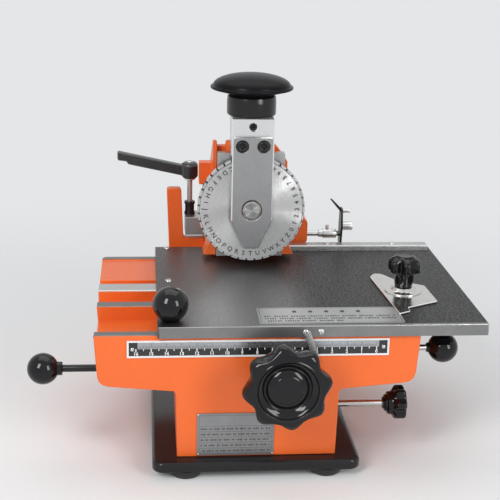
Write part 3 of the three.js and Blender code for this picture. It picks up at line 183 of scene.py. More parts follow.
# Base plate
# A cast iron plate with rounded corners and edges, enamelled black. The body and
# the head are bolted to it from below.
def worked_surface():
    """Fine grain and broad clouds over a surface, for every finish."""
    group = bpy.data.node_groups.new("worked surface", "ShaderNodeTree")
    face = group.interface
    face.new_socket("Place", in_out="INPUT", socket_type="NodeSocketVector")
    face.new_socket("Stretch", in_out="INPUT", socket_type="NodeSocketVector").default_value = (1, 1, 1)
    face.new_socket("Fineness", in_out="INPUT", socket_type="NodeSocketFloat").default_value = 900
    face.new_socket("Patch", in_out="INPUT", socket_type="NodeSocketFloat").default_value = 35
    face.new_socket("Grain", in_out="OUTPUT", socket_type="NodeSocketFloat")
    face.new_socket("Cloud", in_out="OUTPUT", socket_type="NodeSocketFloat")
    nodes, links = group.nodes, group.links
    enter = nodes.new("NodeGroupInput")
    leave = nodes.new("NodeGroupOutput")
    stretched = nodes.new("ShaderNodeVectorMath")
    stretched.operation = "MULTIPLY"
    grain = nodes.new("ShaderNodeTexNoise")
    grain.inputs["Detail"].default_value = 4
    grain.inputs["Roughness"].default_value = 0.62
    cloud = nodes.new("ShaderNodeTexNoise")
    cloud.inputs["Detail"].default_value = 3
    links.new(enter.outputs["Place"], stretched.inputs[0])
    links.new(enter.outputs["Stretch"], stretched.inputs[1])
    links.new(stretched.outputs[0], grain.inputs["Vector"])
    links.new(enter.outputs["Fineness"], grain.inputs["Scale"])
    links.new(enter.outputs["Place"], cloud.inputs["Vector"])
    links.new(enter.outputs["Patch"], cloud.inputs["Scale"])
    links.new(grain.outputs["Fac"], leave.inputs["Grain"])
    links.new(cloud.outputs["Fac"], leave.inputs["Cloud"])
    return group


surface_group = worked_surface()


def lathe_marks():
    """Turns a place about the z axis into its distance from it, so that grain runs in rings."""
    group = bpy.data.node_groups.new("lathe marks", "ShaderNodeTree")
    group.interface.new_socket("Place", in_out="INPUT", socket_type="NodeSocketVector")
    group.interface.new_socket("Ring", in_out="OUTPUT", socket_type="NodeSocketVector")
    nodes, links = group.nodes, group.links
    enter = nodes.new("NodeGroupInput")
    leave = nodes.new("NodeGroupOutput")
    split = nodes.new("ShaderNodeSeparateXYZ")
    flat = nodes.new("ShaderNodeCombineXYZ")
    radius = nodes.new("ShaderNodeVectorMath")
    radius.operation = "LENGTH"
    ring = nodes.new("ShaderNodeCombineXYZ")
    links.new(enter.outputs["Place"], split.inputs[0])
    links.new(split.outputs["X"], flat.inputs["X"])
    links.new(split.outputs["Y"], flat.inputs["Y"])
    links.new(flat.outputs[0], radius.inputs[0])
    links.new(radius.outputs["Value"], ring.inputs["X"])
    links.new(split.outputs["Z"], ring.inputs["Y"])
    links.new(ring.outputs[0], leave.inputs["Ring"])
    return group


ring_group = lathe_marks()
axis_turns = {"x": (0, -math.pi / 2, 0), "y": (math.pi / 2, 0, 0), "z": (0, 0, 0)}


def surface(name, colour, shade, roughness, spread, relief, metal=0.0, coat=0.0, gloss=0.5, fineness=900,
            patch=35, stretch=(1, 1, 1), turned_about=None, cloudy=0.6):
    """A procedural finish: colour drifts to shade, and grain moves roughness and relief."""
    material = bpy.data.materials.new(name)
    material.use_nodes = True
    nodes, links = material.node_tree.nodes, material.node_tree.links
    shader = nodes["Principled BSDF"]
    shader.inputs["Metallic"].default_value = metal
    shader.inputs["Specular IOR Level"].default_value = gloss
    shader.inputs["Coat Weight"].default_value = coat
    shader.inputs["Coat Roughness"].default_value = 0.08
    place = nodes.new("ShaderNodeTexCoord").outputs["Object"]
    if turned_about:
        axis, centre = turned_about
        mapping = nodes.new("ShaderNodeMapping")
        mapping.vector_type = "TEXTURE"
        mapping.inputs["Location"].default_value = row(*centre)
        mapping.inputs["Rotation"].default_value = axis_turns[axis]
        rings = nodes.new("ShaderNodeGroup")
        rings.node_tree = ring_group
        links.new(place, mapping.inputs["Vector"])
        links.new(mapping.outputs["Vector"], rings.inputs["Place"])
        place = rings.outputs["Ring"]
    worked = nodes.new("ShaderNodeGroup")
    worked.node_tree = surface_group
    worked.inputs["Stretch"].default_value = stretch
    worked.inputs["Fineness"].default_value = fineness
    worked.inputs["Patch"].default_value = patch
    links.new(place, worked.inputs["Place"])
    blend = nodes.new("ShaderNodeMix")
    blend.inputs["Factor"].default_value = cloudy
    links.new(worked.outputs["Grain"], blend.inputs["A"])
    links.new(worked.outputs["Cloud"], blend.inputs["B"])
    tint = nodes.new("ShaderNodeMix")
    tint.data_type = "RGBA"
    tint.inputs["A"].default_value = (*colour, 1)
    tint.inputs["B"].default_value = (*shade, 1)
    links.new(ramp(nodes, links, blend.outputs["Result"], 0.25, 0.75), tint.inputs["Factor"])
    links.new(tint.outputs["Result"], shader.inputs["Base Color"])
    rough = ramp(nodes, links, worked.outputs["Grain"], 0.3, 0.7, roughness - spread, roughness + spread)
    links.new(rough, shader.inputs["Roughness"])
    bump = nodes.new("ShaderNodeBump")
    bump.inputs["Distance"].default_value = relief * MM
    bump.inputs["Strength"].default_value = 1
    links.new(worked.outputs["Grain"], bump.inputs["Height"])
    links.new(bump.outputs["Normal"], shader.inputs["Normal"])
    return material


def settle(bm, name, finishes, body, slot, nodes=(), broken=0, segments=2, sharp=33, edge_finish=-1):
    """Makes a finished piece of a mesh: it rides on a body and stands for CAD nodes."""
    for face in bm.faces:
        face.smooth = True
    if not broken:
        for edge in bm.edges:
            edge.smooth = len(edge.link_faces) == 2 and edge.calc_face_angle(0) < math.radians(sharp)
    mesh = bpy.data.meshes.new(name)
    bm.to_mesh(mesh)
    bm.free()
    for finish in finishes:
        mesh.materials.append(finish)
    part = bpy.data.objects.new(name, mesh)
    bpy.context.scene.collection.objects.link(part)
    if broken:
        edge = part.modifiers.new("broken edges", "BEVEL")
        edge.width = broken * MM
        edge.segments = segments
        edge.limit_method = "ANGLE"
        edge.angle_limit = math.radians(sharp)
        edge.use_clamp_overlap = False
        edge.material = edge_finish
        level = part.modifiers.new("level faces", "WEIGHTED_NORMAL")
        level.weight = 100
    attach(part, body)
    if nodes:
        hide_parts(*nodes)
    return part


def add_block(bm, low, high):
    """Adds a box between two corners in millimetres."""
    made = bmesh.ops.create_cube(bm, size=1)["verts"]
    low, high = row(*low), row(*high)
    bmesh.ops.scale(bm, vec=high - low, verts=made)
    bmesh.ops.translate(bm, vec=(low + high) / 2, verts=made)


def block(low, high):
    bm = bmesh.new()
    add_block(bm, low, high)
    return bm


def round_edges(bm, edges, radius, segments):
    bmesh.ops.bevel(bm, geom=edges, offset=radius * MM, offset_type="OFFSET", segments=segments,
                    profile=0.5, affect="EDGES", material=-1)


def upright_edges(bm):
    return [edge for edge in bm.edges
            if abs((edge.verts[0].co - edge.verts[1].co).normalized().z) > 0.99]


def level_edges(bm, height):
    return [edge for edge in bm.edges if all(abs(vert.co.z - height * MM) < 1e-6 for vert in edge.verts)]


def span(node):
    """Lowest and highest corner of a CAD node, back in millimetres from the body's front face."""
    low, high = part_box(node)
    shift = Vector((0, body_front, 0))
    return Vector(low) / MM - shift, Vector(high) / MM - shift


black_enamel = surface("black_enamel", (0.010, 0.010, 0.011), (0.017, 0.017, 0.018), 0.17, 0.04, 0.003,
                       gloss=0.30, fineness=500, patch=60)
base_low, base_high = span("base_plate")
base_corner = 8
base_top_round = 2.4
base_foot_round = 1.4
base = block(base_low, base_high)
round_edges(base, upright_edges(base), base_corner, 10)
round_edges(base, level_edges(base, base_high.z), base_top_round, 5)
round_edges(base, level_edges(base, base_low.z), base_foot_round, 3)
settle(base, "enamelled_base", [black_enamel], "frame", "black_paint", ["base_plate"], sharp=40)


# Feet
# Four moulded rubber pads, each held under the base plate by a screw in its
# middle. They taper a little to the table.
rubber = surface("moulded_rubber", (0.012, 0.012, 0.012), (0.020, 0.020, 0.019), 0.42, 0.10, 0.02,
                 gloss=0.4, fineness=1400, patch=80)
spin_sides = 96


def spun(profile, sides=spin_sides):
    """Spins corners of (radius, height, rounding) about the z axis, in metres."""
    bm = bmesh.new()
    corners = [bm.verts.new((radius * MM, 0, height * MM)) for radius, height, _ in profile]
    for near, far in zip(corners, corners[1:]):
        bm.edges.new((near, far))
    for corner, (_, _, rounding) in zip(corners, profile):
        if rounding:
            bmesh.ops.bevel(bm, geom=[corner], offset=rounding * MM, offset_type="OFFSET", segments=4,
                            profile=0.5, affect="VERTICES", material=-1)
    bmesh.ops.spin(bm, geom=bm.verts[:] + bm.edges[:], cent=(0, 0, 0), axis=(0, 0, 1),
                   angle=math.tau, steps=sides, use_merge=True)
    bmesh.ops.remove_doubles(bm, verts=bm.verts, dist=2e-6)
    bmesh.ops.recalc_face_normals(bm, faces=bm.faces)
    return bm


stand_turns = {
    "x": Matrix.Rotation(math.pi / 2, 4, "Y"),
    "y": Matrix.Rotation(-math.pi / 2, 4, "X"),
    "z": Matrix.Identity(4),
}


def stand(bm, axis, centre):
    """Lays a spun piece along an axis, with its zero height at a point in millimetres."""
    bmesh.ops.transform(bm, matrix=Matrix.Translation(row(*centre)) @ stand_turns[axis], verts=bm.verts)
    return bm


def middle(node):
    low, high = span(node)
    return (low + high) / 2


def foot(name):
    low, high = span(name)
    radius = (high.x - low.x) / 2
    height = high.z - low.z
    recess = 4
    bm = spun([
        (0, 1, 0), (recess, 1, 0), (recess, 0, 0.3), (radius - 1.6, 0, 0.8), (radius, height / 2, 0.6),
        (radius, height, 0), (0, height, 0),
    ])
    stand(bm, "z", (*middle(name).xy, low.z))
    settle(bm, name.replace("foot", "rubber_foot"), [rubber], "frame", "rubber", [name])


for foot_node in ("foot_front_left", "foot_front_right", "foot_rear_left", "foot_rear_right"):
    foot(foot_node)


# Body casting
# A T-shaped iron casting, sprayed orange. The lands that carry the platform are
# planed bare, and they show as thin steel strips between the painted recesses.
orange_enamel = surface("orange_enamel", (0.86, 0.154, 0.026), (0.79, 0.132, 0.021), 0.34, 0.06, 0.010,
                        coat=0.08, gloss=0.4, fineness=420, patch=22)
planed_steel = surface("planed_steel", (0.24, 0.235, 0.22), (0.16, 0.155, 0.145), 0.36, 0.10, 0.004, metal=1,
                       fineness=2600, stretch=(0.05, 1, 1))


def copy_of(node, flat=0.5):
    """The CAD node's own mesh, merged, with its flat faces whole."""
    bm = bmesh.new()
    bm.from_mesh(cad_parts[node].data)
    bmesh.ops.remove_doubles(bm, verts=bm.verts, dist=1e-6)
    bmesh.ops.dissolve_limit(bm, angle_limit=math.radians(flat), use_dissolve_boundaries=False,
                             verts=bm.verts, edges=bm.edges, delimit=set())
    return bm


def bare_faces(bm, finish, chosen):
    """Gives the chosen faces another of a piece's finishes, by its number."""
    for face in bm.faces:
        if chosen(face):
            face.material_index = finish


body_high = span("body_casting")[1]
body = copy_of("body_casting")
bare_faces(body, 1, lambda face: face.normal.z > 0.99
           and face.calc_center_median().z / MM > body_high.z - 0.1)
settle(body, "orange_body", [orange_enamel, planed_steel], "frame", "orange_paint", ["body_casting"],
       broken=0.9, segments=3, sharp=40)


# Guide rail
# A square bar of cold drawn steel, pressed into the body's second recess and
# sprayed with it, so that only its ground top is bare.
drawn_steel = surface("drawn_steel", (0.60, 0.60, 0.59), (0.42, 0.42, 0.41), 0.25, 0.08, 0.003, metal=1,
                      fineness=2200, stretch=(0.04, 1, 1))
rail = copy_of("guide_rail")
bare_faces(rail, 1, lambda face: abs(face.normal.y) > 0.9)
settle(rail, "steel_rail", [drawn_steel, orange_enamel], "frame", "bright_steel", ["guide_rail"],
       broken=0.35, segments=3)


# Ruler
# A printed steel rule in a white frame: centimetre numbers and ticks on black,
# under a bright strip with finer marks. A small screw holds each end.
frame_white = surface("frame_white", (0.78, 0.78, 0.77), (0.70, 0.70, 0.69), 0.45, 0.06, 0.004,
                      fineness=700)
ruler_black = surface("ruler_black", (0.011, 0.011, 0.012), (0.020, 0.020, 0.021), 0.22, 0.05, 0.003,
                      fineness=900, coat=0.3)
ruler_steel = surface("ruler_steel", (0.50, 0.51, 0.53), (0.36, 0.37, 0.39), 0.30, 0.10, 0.004, metal=0.9,
                      fineness=1500, stretch=(0.3, 1, 1))
print_white = surface("print_white", (0.82, 0.82, 0.80), (0.74, 0.74, 0.72), 0.5, 0.05, 0.002)
print_black = surface("print_black", (0.010, 0.010, 0.010), (0.018, 0.018, 0.018), 0.5, 0.05, 0.002)
zinc_steel = surface("zinc_steel", (0.66, 0.66, 0.65), (0.54, 0.54, 0.53), 0.26, 0.06, 0.001, metal=0.9,
                     fineness=1200)


def lettering(words, size, thick, weight):
    """A mesh of flat letters, centred on the origin in the xz plane and facing -y."""
    text = bpy.data.curves.new("letters", "FONT")
    text.body = words
    text.size = size * MM
    text.align_x = "CENTER"
    text.align_y = "CENTER"
    text.extrude = thick * MM / 2
    text.offset = weight * MM
    text.resolution_u = 3
    stencil = bpy.data.objects.new("letters", text)
    bpy.context.scene.collection.objects.link(stencil)
    bpy.context.view_layer.update()
    mesh = bpy.data.meshes.new_from_object(stencil)
    bpy.data.objects.remove(stencil)
    bpy.data.curves.remove(text)
    mesh.transform(Matrix.Rotation(math.pi / 2, 4, "X"))
    return mesh


def add_letters(bm, words, size, thick, weight, place):
    """Sets letters into a mesh at a matrix."""
    mesh = lettering(words, size, thick, weight)
    mesh.transform(place)
    bm.from_mesh(mesh)
    bpy.data.meshes.remove(mesh)


ruler_low, ruler_high = span("ruler_plate")
ruler_border = 1.3
ruler_sunk = 0.35
ruler_strip_low = 6.2
ruler_strip_half = 80.2
ruler_zero_x = 78.7
ruler_numbers = 17
number_height = 3.2
number_middle = 2.7
centimetre = 10
half_centimetre = 5


def ruler():
    face_y = ruler_low.y
    bm = block(ruler_low, ruler_high)
    front = [face for face in bm.faces if face.normal.y < -0.9]
    bmesh.ops.inset_individual(bm, faces=front, thickness=ruler_border * MM, use_even_offset=True)
    bmesh.ops.translate(bm, vec=(0, ruler_sunk * MM, 0), verts=front[0].verts)
    front[0].material_index = 1
    settle(bm, "ruler_frame", [frame_white, ruler_black], "frame", "dark_steel", ["ruler_plate"],
           broken=0.15)
    sunk_y = face_y + ruler_sunk
    strip_low = ruler_low.z + ruler_strip_low
    strip_high = ruler_high.z - ruler_border
    strip = block((-ruler_strip_half, sunk_y - 0.12, strip_low), (ruler_strip_half, sunk_y + 0.2, strip_high))
    settle(strip, "ruler_strip", [ruler_steel], "frame", "dark_steel")
    numbers = bmesh.new()
    for number in range(ruler_numbers):
        x = ruler_zero_x - centimetre * number
        place = Matrix.Translation(row(x, sunk_y - 0.05, ruler_low.z + number_middle))
        add_letters(numbers, str(number), number_height, 0.05, 0.09, place)
    settle(numbers, "ruler_numbers", [print_white], "frame", "dark_steel")
    pale = bmesh.new()
    dark = bmesh.new()
    for tick in range((ruler_numbers - 1) * centimetre + 1):
        x = ruler_zero_x - tick
        whole = tick % centimetre == 0
        marked = tick % half_centimetre == 0
        if marked:
            half = 0.32 if whole else 0.26
            drop = 2.2 if whole else 1.3
            add_block(pale, (x - half, sunk_y - 0.14, strip_low - drop),
                      (x + half, sunk_y + 0.1, strip_low + 0.1))
        rise = 3.6 if whole else 2.8 if marked else 2.0
        add_block(dark, (x - 0.11, sunk_y - 0.15, strip_low + 0.2), (x + 0.11, sunk_y, strip_low + rise))
    settle(pale, "ruler_pale_ticks", [print_white], "frame", "dark_steel")
    settle(dark, "ruler_dark_ticks", [print_black], "frame", "dark_steel")


ruler()


def turn_over(bm):
    """Mirrors a piece through its zero height and keeps its faces outwards."""
    bmesh.ops.scale(bm, vec=(1, 1, -1), verts=bm.verts)
    bmesh.ops.recalc_face_normals(bm, faces=bm.faces)


def slotted_head(name, centre, axis, radius, rise, finish, body, slot, slot_width=0):
    """A domed screw or rivet head that stands on a face, with a driver's slot if it has a width."""
    bm = spun([
        (0, -0.3, 0), (radius, -0.3, 0), (radius, rise * 0.35, radius * 0.12),
        (radius * 0.72, rise * 0.86, radius * 0.16), (0, rise, 0),
    ], 32)
    if slot_width:
        for vert in bm.verts:
            if abs(vert.co.x) < slot_width / 2 * MM and vert.co.z > rise * 0.5 * MM:
                vert.co.z -= rise * 0.45 * MM
    if axis == "y":
        turn_over(bm)
    stand(bm, axis, centre)
    return settle(bm, name, [finish], body, slot)


for side, x in (("left", -83.6), ("right", 83.4)):
    slotted_head(f"ruler_screw_{side}", (x, ruler_low.y + ruler_sunk, 92), "y", 1.35, 0.7, zinc_steel,
                 "frame", "dark_steel")


# Data plate
# A thin anodised plate with a ruled table of plain marks, held by four rivets
# on the front of the column.
etched_plate = surface("etched_plate", (0.31, 0.32, 0.325), (0.22, 0.225, 0.23), 0.38, 0.10, 0.004, metal=0.7,
                       fineness=1700, stretch=(0.25, 1, 1))
plate_low, plate_high = span("data_plate")
rivet_inset = 0.9


def dress(node, name, finishes, body, slot, **edges):
    """Finishes a CAD node's own shape, with its edges broken."""
    return settle(copy_of(node), name, finishes, body, slot, [node], **edges)


def data_plate():
    dress("data_plate", "etched_data_plate", [etched_plate], "frame", "printed_plate", broken=0.2)
    near = plate_low.y - 0.04
    far = plate_low.y + 0.1
    rule = 0.14
    border = 1.4
    left, right = plate_low.x + border, plate_high.x - border
    low, high = plate_low.z + border, plate_high.z - border
    bm = bmesh.new()
    title_share = 0.72
    title_z = low + (high - low) * title_share
    rows = 5
    heights = [low + (title_z - low) * line / rows for line in range(rows + 1)] + [high]
    for z in heights:
        add_block(bm, (left, near, z - rule / 2), (right, far, z + rule / 2))
    for x in (left, right):
        add_block(bm, (x - rule / 2, near, low), (x + rule / 2, far, high))
    for share in (0.26, 0.58):
        x = left + (right - left) * share
        add_block(bm, (x - rule / 2, near, low), (x + rule / 2, far, title_z))
    line_height = (title_z - low) / rows
    dash = 1.1
    for line in range(rows):
        z = low + line_height * (line + 0.5)
        for mark in range(round((right - left) / dash) - 2):
            if (mark * 3 + line * 5) % 8 > 1:
                x = left + dash * (mark + 1.2)
                tall = 0.42 + 0.10 * ((mark + line) % 3)
                add_block(bm, (x, near, z - tall), (x + dash * 0.62, far, z + tall))
    settle(bm, "data_plate_rules", [print_black], "frame", "printed_plate")
    for column, x in (("left", plate_low.x + rivet_inset), ("right", plate_high.x - rivet_inset)):
        for line, z in (("low", plate_low.z + rivet_inset), ("high", plate_high.z - rivet_inset)):
            slotted_head(f"data_rivet_{line}_{column}", (x, plate_low.y, z), "y", 0.75, 0.35, zinc_steel,
                         "frame", "printed_plate")


data_plate()


# Platform
# A ground steel plate with a folded front lip, scuffed by the plates that slide
# over it. Its rounded front edge is painted near-white as a highlight, and the top
# is painted paler from the left of the press rightwards as a reflection.
def platform_finish():
    """Steel that is brushed smooth on the left, painted paler from the left of the press rightwards as a
    reflection, and mottled dark on the right.
    """
    material = surface("scuffed_steel_and_painted_reflection", (0.15, 0.15, 0.15), (0.09, 0.09, 0.091), 0.44, 0.07, 0.0012, metal=1,
                       fineness=900, patch=16, cloudy=0.65, stretch=(1, 0.12, 1))
    nodes, links = material.node_tree.nodes, material.node_tree.links
    shader = nodes["Principled BSDF"]
    place = nodes.new("ShaderNodeTexCoord").outputs["Object"]
    speckle = nodes.new("ShaderNodeTexNoise")
    speckle.inputs["Scale"].default_value = 620
    speckle.inputs["Detail"].default_value = 3
    speckle.inputs["Roughness"].default_value = 0.7
    links.new(place, speckle.inputs["Vector"])
    split = nodes.new("ShaderNodeSeparateXYZ")
    links.new(place, split.inputs[0])
    dark = ramp(nodes, links, speckle.outputs["Fac"], 0.36, 0.58, to_low=0.60)
    rightward = ramp(nodes, links, split.outputs["X"], -0.015, 0.045)
    behind_lip = ramp(nodes, links, split.outputs["Y"], -0.1000, -0.0985)
    region = maths(nodes, links, "MULTIPLY", rightward, behind_lip)
    mottle = maths(nodes, links, "MULTIPLY", region, dark)
    # Painted reflection: the steel is mixed towards a pale grey from the left of the press rightwards.
    pale_reflection_reach = ramp(nodes, links, split.outputs["X"], -0.070, -0.020, to_high=0.75, eased=True)
    pale_reflection_mix = nodes.new("ShaderNodeMix")
    pale_reflection_mix.data_type = "RGBA"
    pale_reflection_mix.inputs["B"].default_value = (0.30, 0.30, 0.30, 1)
    links.new(pale_reflection_reach, pale_reflection_mix.inputs["Factor"])
    links.new(shader.inputs["Base Color"].links[0].from_socket, pale_reflection_mix.inputs["A"])
    tint = nodes.new("ShaderNodeMix")
    tint.data_type = "RGBA"
    links.new(mottle, tint.inputs["Factor"])
    links.new(pale_reflection_mix.outputs["Result"], tint.inputs["A"])
    tint.inputs["B"].default_value = (0.014, 0.014, 0.0145, 1)
    links.new(tint.outputs["Result"], shader.inputs["Base Color"])
    return material


scuffed_steel_and_painted_reflection = platform_finish()
# Painted highlight: a near-white steel for rounded edges and chamfers, so that they show as bright lines.
painted_highlight_edge = surface("painted_highlight_edge", (0.94, 0.94, 0.93), (0.88, 0.88, 0.87), 0.24, 0.05, 0.002, metal=1,
                      fineness=900)
lip_steel = surface("lip_steel", (0.29, 0.29, 0.29), (0.20, 0.20, 0.20), 0.36, 0.08, 0.002, metal=0.85,
                    fineness=1500, patch=50, stretch=(0.12, 1, 1))
platform_low, platform_high = span("platform")
platform_front_round = 1.7
platform = copy_of("platform")
front_edges = [edge for edge in level_edges(platform, platform_high.z)
               if all(abs(vert.co.y - row(0, platform_low.y, 0).y) < 1e-6 for vert in edge.verts)]
round_edges(platform, front_edges, platform_front_round, 6)
top_edges = [edge for edge in level_edges(platform, platform_high.z)
             if edge.calc_face_angle(0) > 1 and edge.calc_length() > 50 * MM]
round_edges(platform, top_edges, 0.35, 2)
bmesh.ops.remove_doubles(platform, verts=platform.verts, dist=2e-6)
# The rounded front edge takes the painted highlight.
bare_faces(platform, 1, lambda face: face.normal.y < -0.1 and face.normal.z > 0.1)
bare_faces(platform, 2, lambda face: face.normal.y < -0.99)
steel_platform = settle(platform, "steel_platform", [scuffed_steel_and_painted_reflection, painted_highlight_edge, lip_steel], "carriage",
                        "ground_steel", ["platform"], sharp=50)
level_top = steel_platform.modifiers.new("level faces", "WEIGHTED_NORMAL")
level_top.weight = 100
level_top.keep_sharp = True
for place, (x, y) in (("rear", (-57.8, 173)), ("front", (-58.2, 92.5))):
    slotted_head(f"platform_screw_{place}", (x, y, platform_high.z), "z", 2.6, 1.3, zinc_steel, "carriage",
                 "ground_steel", slot_width=0.8)
for place, x in (("left", 30.2), ("right", 40.5)):
    y = span("ruler_pointer")[0].y if place == "left" else platform_low.y
    slotted_head(f"lip_screw_{place}", (x, y, 103.9), "y", 2.1, 0.9, zinc_steel, "carriage", "ground_steel",
                 slot_width=0.8)


# Label strip
# A thin brushed sticker on the platform, with rows of plain marks inside a
# ruled border.
label_steel = surface("label_steel", (0.46, 0.46, 0.46), (0.36, 0.36, 0.36), 0.40, 0.08, 0.004, metal=0.8,
                      fineness=1500, stretch=(0.2, 1, 1))
label_left, label_right = 0.5, 98
label_front, label_back = 2.2, 32.8


def label_strip():
    low = platform_high.z
    sheet = block((label_left, label_front, low), (label_right, label_back, low + 0.12))
    round_edges(sheet, upright_edges(sheet), 1.5, 4)
    settle(sheet, "label_strip", [label_steel], "carriage", "ground_steel")
    bm = bmesh.new()
    marks = 54
    for line, y in enumerate((6.2, 10.6, 15.0)):
        for mark in range(marks if line else marks * 3 // 5):
            if (mark * 5 + line * 3) % 7:
                x = label_left + 4 + (label_right - label_left - 8) * mark / marks
                wide = 0.8 + 0.12 * ((mark * 3 + line) % 4)
                add_block(bm, (x, y, low + 0.05), (x + wide, y + 2.1, low + 0.16))
    for mark in range(5):
        x = label_left + 24 + mark * 11
        add_block(bm, (x, 23.0, low + 0.05), (x + 2.6, 26.6, low + 0.16))
    left, right = label_left + 1.2, label_right - 1.2
    front, back = label_front + 1.2, label_back - 1.2
    thin = 0.3
    add_block(bm, (left, front, low + 0.05), (right, front + thin, low + 0.15))
    add_block(bm, (left, back - thin, low + 0.05), (right, back, low + 0.15))
    add_block(bm, (left, front, low + 0.05), (left + thin, back, low + 0.15))
    add_block(bm, (right - thin, front, low + 0.05), (right, back, low + 0.15))
    settle(bm, "label_marks", [print_black], "carriage", "ground_steel")


label_strip()


# Fence
# A bent strip of bright steel on a dark spacer bar, screwed down along the
# rear edge of the platform.
bent_steel = surface("bent_steel", (0.56, 0.56, 0.56), (0.40, 0.40, 0.40), 0.30, 0.08, 0.003, metal=0.85,
                     fineness=1800, stretch=(0.1, 1, 1))
black_oxide = surface("black_oxide", (0.020, 0.020, 0.021), (0.034, 0.034, 0.035), 0.35, 0.08, 0.006,
                      metal=0.7, fineness=1100)
# The strip's broken edges take the painted highlight.
dress("fence_angle", "fence_strip", [bent_steel, painted_highlight_edge], "carriage", "bright_steel", broken=0.3,
      sharp=50, edge_finish=1)
dress("fence_bar", "fence_spacer", [black_oxide], "carriage", "dark_steel", broken=0.3)
fence_top = span("fence_angle")[1].z
fence_screw_y = 168.5
for place, x in (("left", 70), ("right", 123)):
    slotted_head(f"fence_screw_{place}", (x, fence_screw_y, fence_top), "z", 2.1, 1.1, zinc_steel, "carriage",
                 "bright_steel", slot_width=0.6)


# Ruler pointer
# A narrow slip of spring steel under one of the lip's screws, bent over the
# ruler's scale.
dress("ruler_pointer", "ruler_pointer_slip", [zinc_steel], "carriage", "bright_steel", broken=0.12)


# Push ball
# A black phenolic ball screwed on a stud in the platform's left front corner,
# by which the left hand shifts the platform.
gloss_black = surface("gloss_black", (0.004, 0.004, 0.005), (0.007, 0.007, 0.008), 0.07, 0.02, 0.0012,
                      gloss=0.34, fineness=160, patch=50)


def only(kind, geometry):
    return [item for item in geometry if isinstance(item, kind)]


def ball(radius, neck, neck_length):
    """A ball standing on a short neck, its middle at zero height."""
    bm = bmesh.new()
    bmesh.ops.create_uvsphere(bm, u_segments=spin_sides, v_segments=48, radius=radius * MM)
    start = math.sqrt(radius ** 2 - neck ** 2)
    rim = 0.5
    cut = bmesh.ops.bisect_plane(bm, geom=bm.verts[:] + bm.edges[:] + bm.faces[:], dist=1e-6,
                                 plane_co=(0, 0, -start * MM), plane_no=(0, 0, -1), clear_outer=True)
    edges = only(bmesh.types.BMEdge, cut["geom_cut"])
    if neck_length:
        down = bmesh.ops.extrude_edge_only(bm, edges=edges)["geom"]
        verts = only(bmesh.types.BMVert, down)
        bmesh.ops.translate(bm, vec=(0, 0, -(neck_length - rim) * MM), verts=verts)
        edges = only(bmesh.types.BMEdge, down)
    down = bmesh.ops.extrude_edge_only(bm, edges=edges)["geom"]
    verts = only(bmesh.types.BMVert, down)
    bmesh.ops.scale(bm, vec=((neck - rim) / neck, (neck - rim) / neck, 1), verts=verts)
    bmesh.ops.translate(bm, vec=(0, 0, -rim * MM if neck_length else 0), verts=verts)
    bmesh.ops.contextual_create(bm, geom=only(bmesh.types.BMEdge, down))
    bmesh.ops.recalc_face_normals(bm, faces=bm.faces)
    return bm


push_low, push_high = span("push_ball")
push_radius = (push_high.x - push_low.x) / 2
push_ball = ball(push_radius, 4.6, 0)
stand(push_ball, "z", (*middle("push_ball").xy, push_high.z - push_radius))
settle(push_ball, "phenolic_push_ball", [gloss_black], "carriage", "black_plastic", ["push_ball"])


# Side stop
# A bright swivelling sheet against which the nameplate lies, with a turned
# boss on it and a star knob that clamps both.
polished_steel = surface("polished_steel", (0.70, 0.69, 0.66), (0.58, 0.57, 0.54), 0.20, 0.07, 0.003, metal=1,
                         fineness=1500, patch=60)
# The sheet's broken edges take the painted highlight.
dress("stop_plate", "stop_sheet", [polished_steel, painted_highlight_edge], "side_stop", "bright_steel", broken=0.5,
      edge_finish=1)
stop_low, stop_high = span("stop_boss")
stop_x, stop_y = middle("stop_boss").xy
turned_boss = surface("turned_boss", (0.72, 0.71, 0.69), (0.56, 0.55, 0.53), 0.22, 0.08, 0.004, metal=1,
                      fineness=2400, turned_about=("z", (stop_x, stop_y, 0)), cloudy=0.2)
boss_radius = (stop_high.x - stop_low.x) / 2
boss_height = stop_high.z - stop_low.z
boss = spun([
    (3.3, 0, 0), (boss_radius, 0, 0.15), (boss_radius, 0.7, 0.3), (10.4, 0.9, 0.4), (9.2, 1.4, 0.4),
    (7.4, boss_height, 0.3), (3.3, boss_height, 0), (3.3, 0, 0),
])
stand(boss, "z", (stop_x, stop_y, stop_low.z))
settle(boss, "turned_stop_boss", [turned_boss], "side_stop", "bright_steel", ["stop_boss"])


def draw_in(bm, lobes, first, depth, inner, outer, sharpness=1.0):
    """Draws a rim in between its finger lobes: nothing at the inner radius, depth at the outer."""
    for vert in bm.verts:
        reach = math.hypot(vert.co.x, vert.co.y) / MM
        if reach > inner:
            turn = math.atan2(vert.co.y, vert.co.x)
            wave = ((1 - math.cos(lobes * (turn - first))) / 2) ** sharpness
            fade = min(1, (reach - inner) / (outer - inner))
            share = 1 - depth * wave * fade / reach
            vert.co.x *= share
            vert.co.y *= share


def star_knob():
    low, high = span("stop_knob")
    height = high.z - low.z
    hub = 7.1
    head = 11.9
    head_low = 11
    bm = spun([
        (3.3, 0, 0), (hub * 0.86, 0, 0.5), (hub * 0.98, 4, 1.5), (hub, head_low - 2.4, 1),
        (hub * 1.2, head_low - 0.4, 1.2), (head - 0.8, head_low, 0.8), (head, head_low + 1.2, 0.8),
        (head, head_low + 7.6, 1.6), (head - 2.4, head_low + 9.8, 1.4), (hub - 0.2, head_low + 10.8, 0.6),
        (hub - 0.8, head_low + 11.9, 0.5), (hub - 1.5, height - 0.2, 0.4), (hub - 2.2, height - 0.6, 0.3),
        (0, height - 0.6, 0),
    ], 180)
    lobes, depth = 6, 4.6
    draw_in(bm, lobes, math.pi / 2, depth, hub - 0.6, head, 1.5)
    stand(bm, "z", (stop_x, stop_y, low.z))
    settle(bm, "stop_star_knob", [gloss_black], "stop_grip", "black_plastic", ["stop_knob"], sharp=50)


star_knob()


# Handwheel
# A moulded phenolic wheel with eight finger lobes and a dished face. It turns
# the pinion that moves the platform.
wheel_high = span("handwheel")[1]
hand_x = middle("handwheel").x
hand_z = 75.55


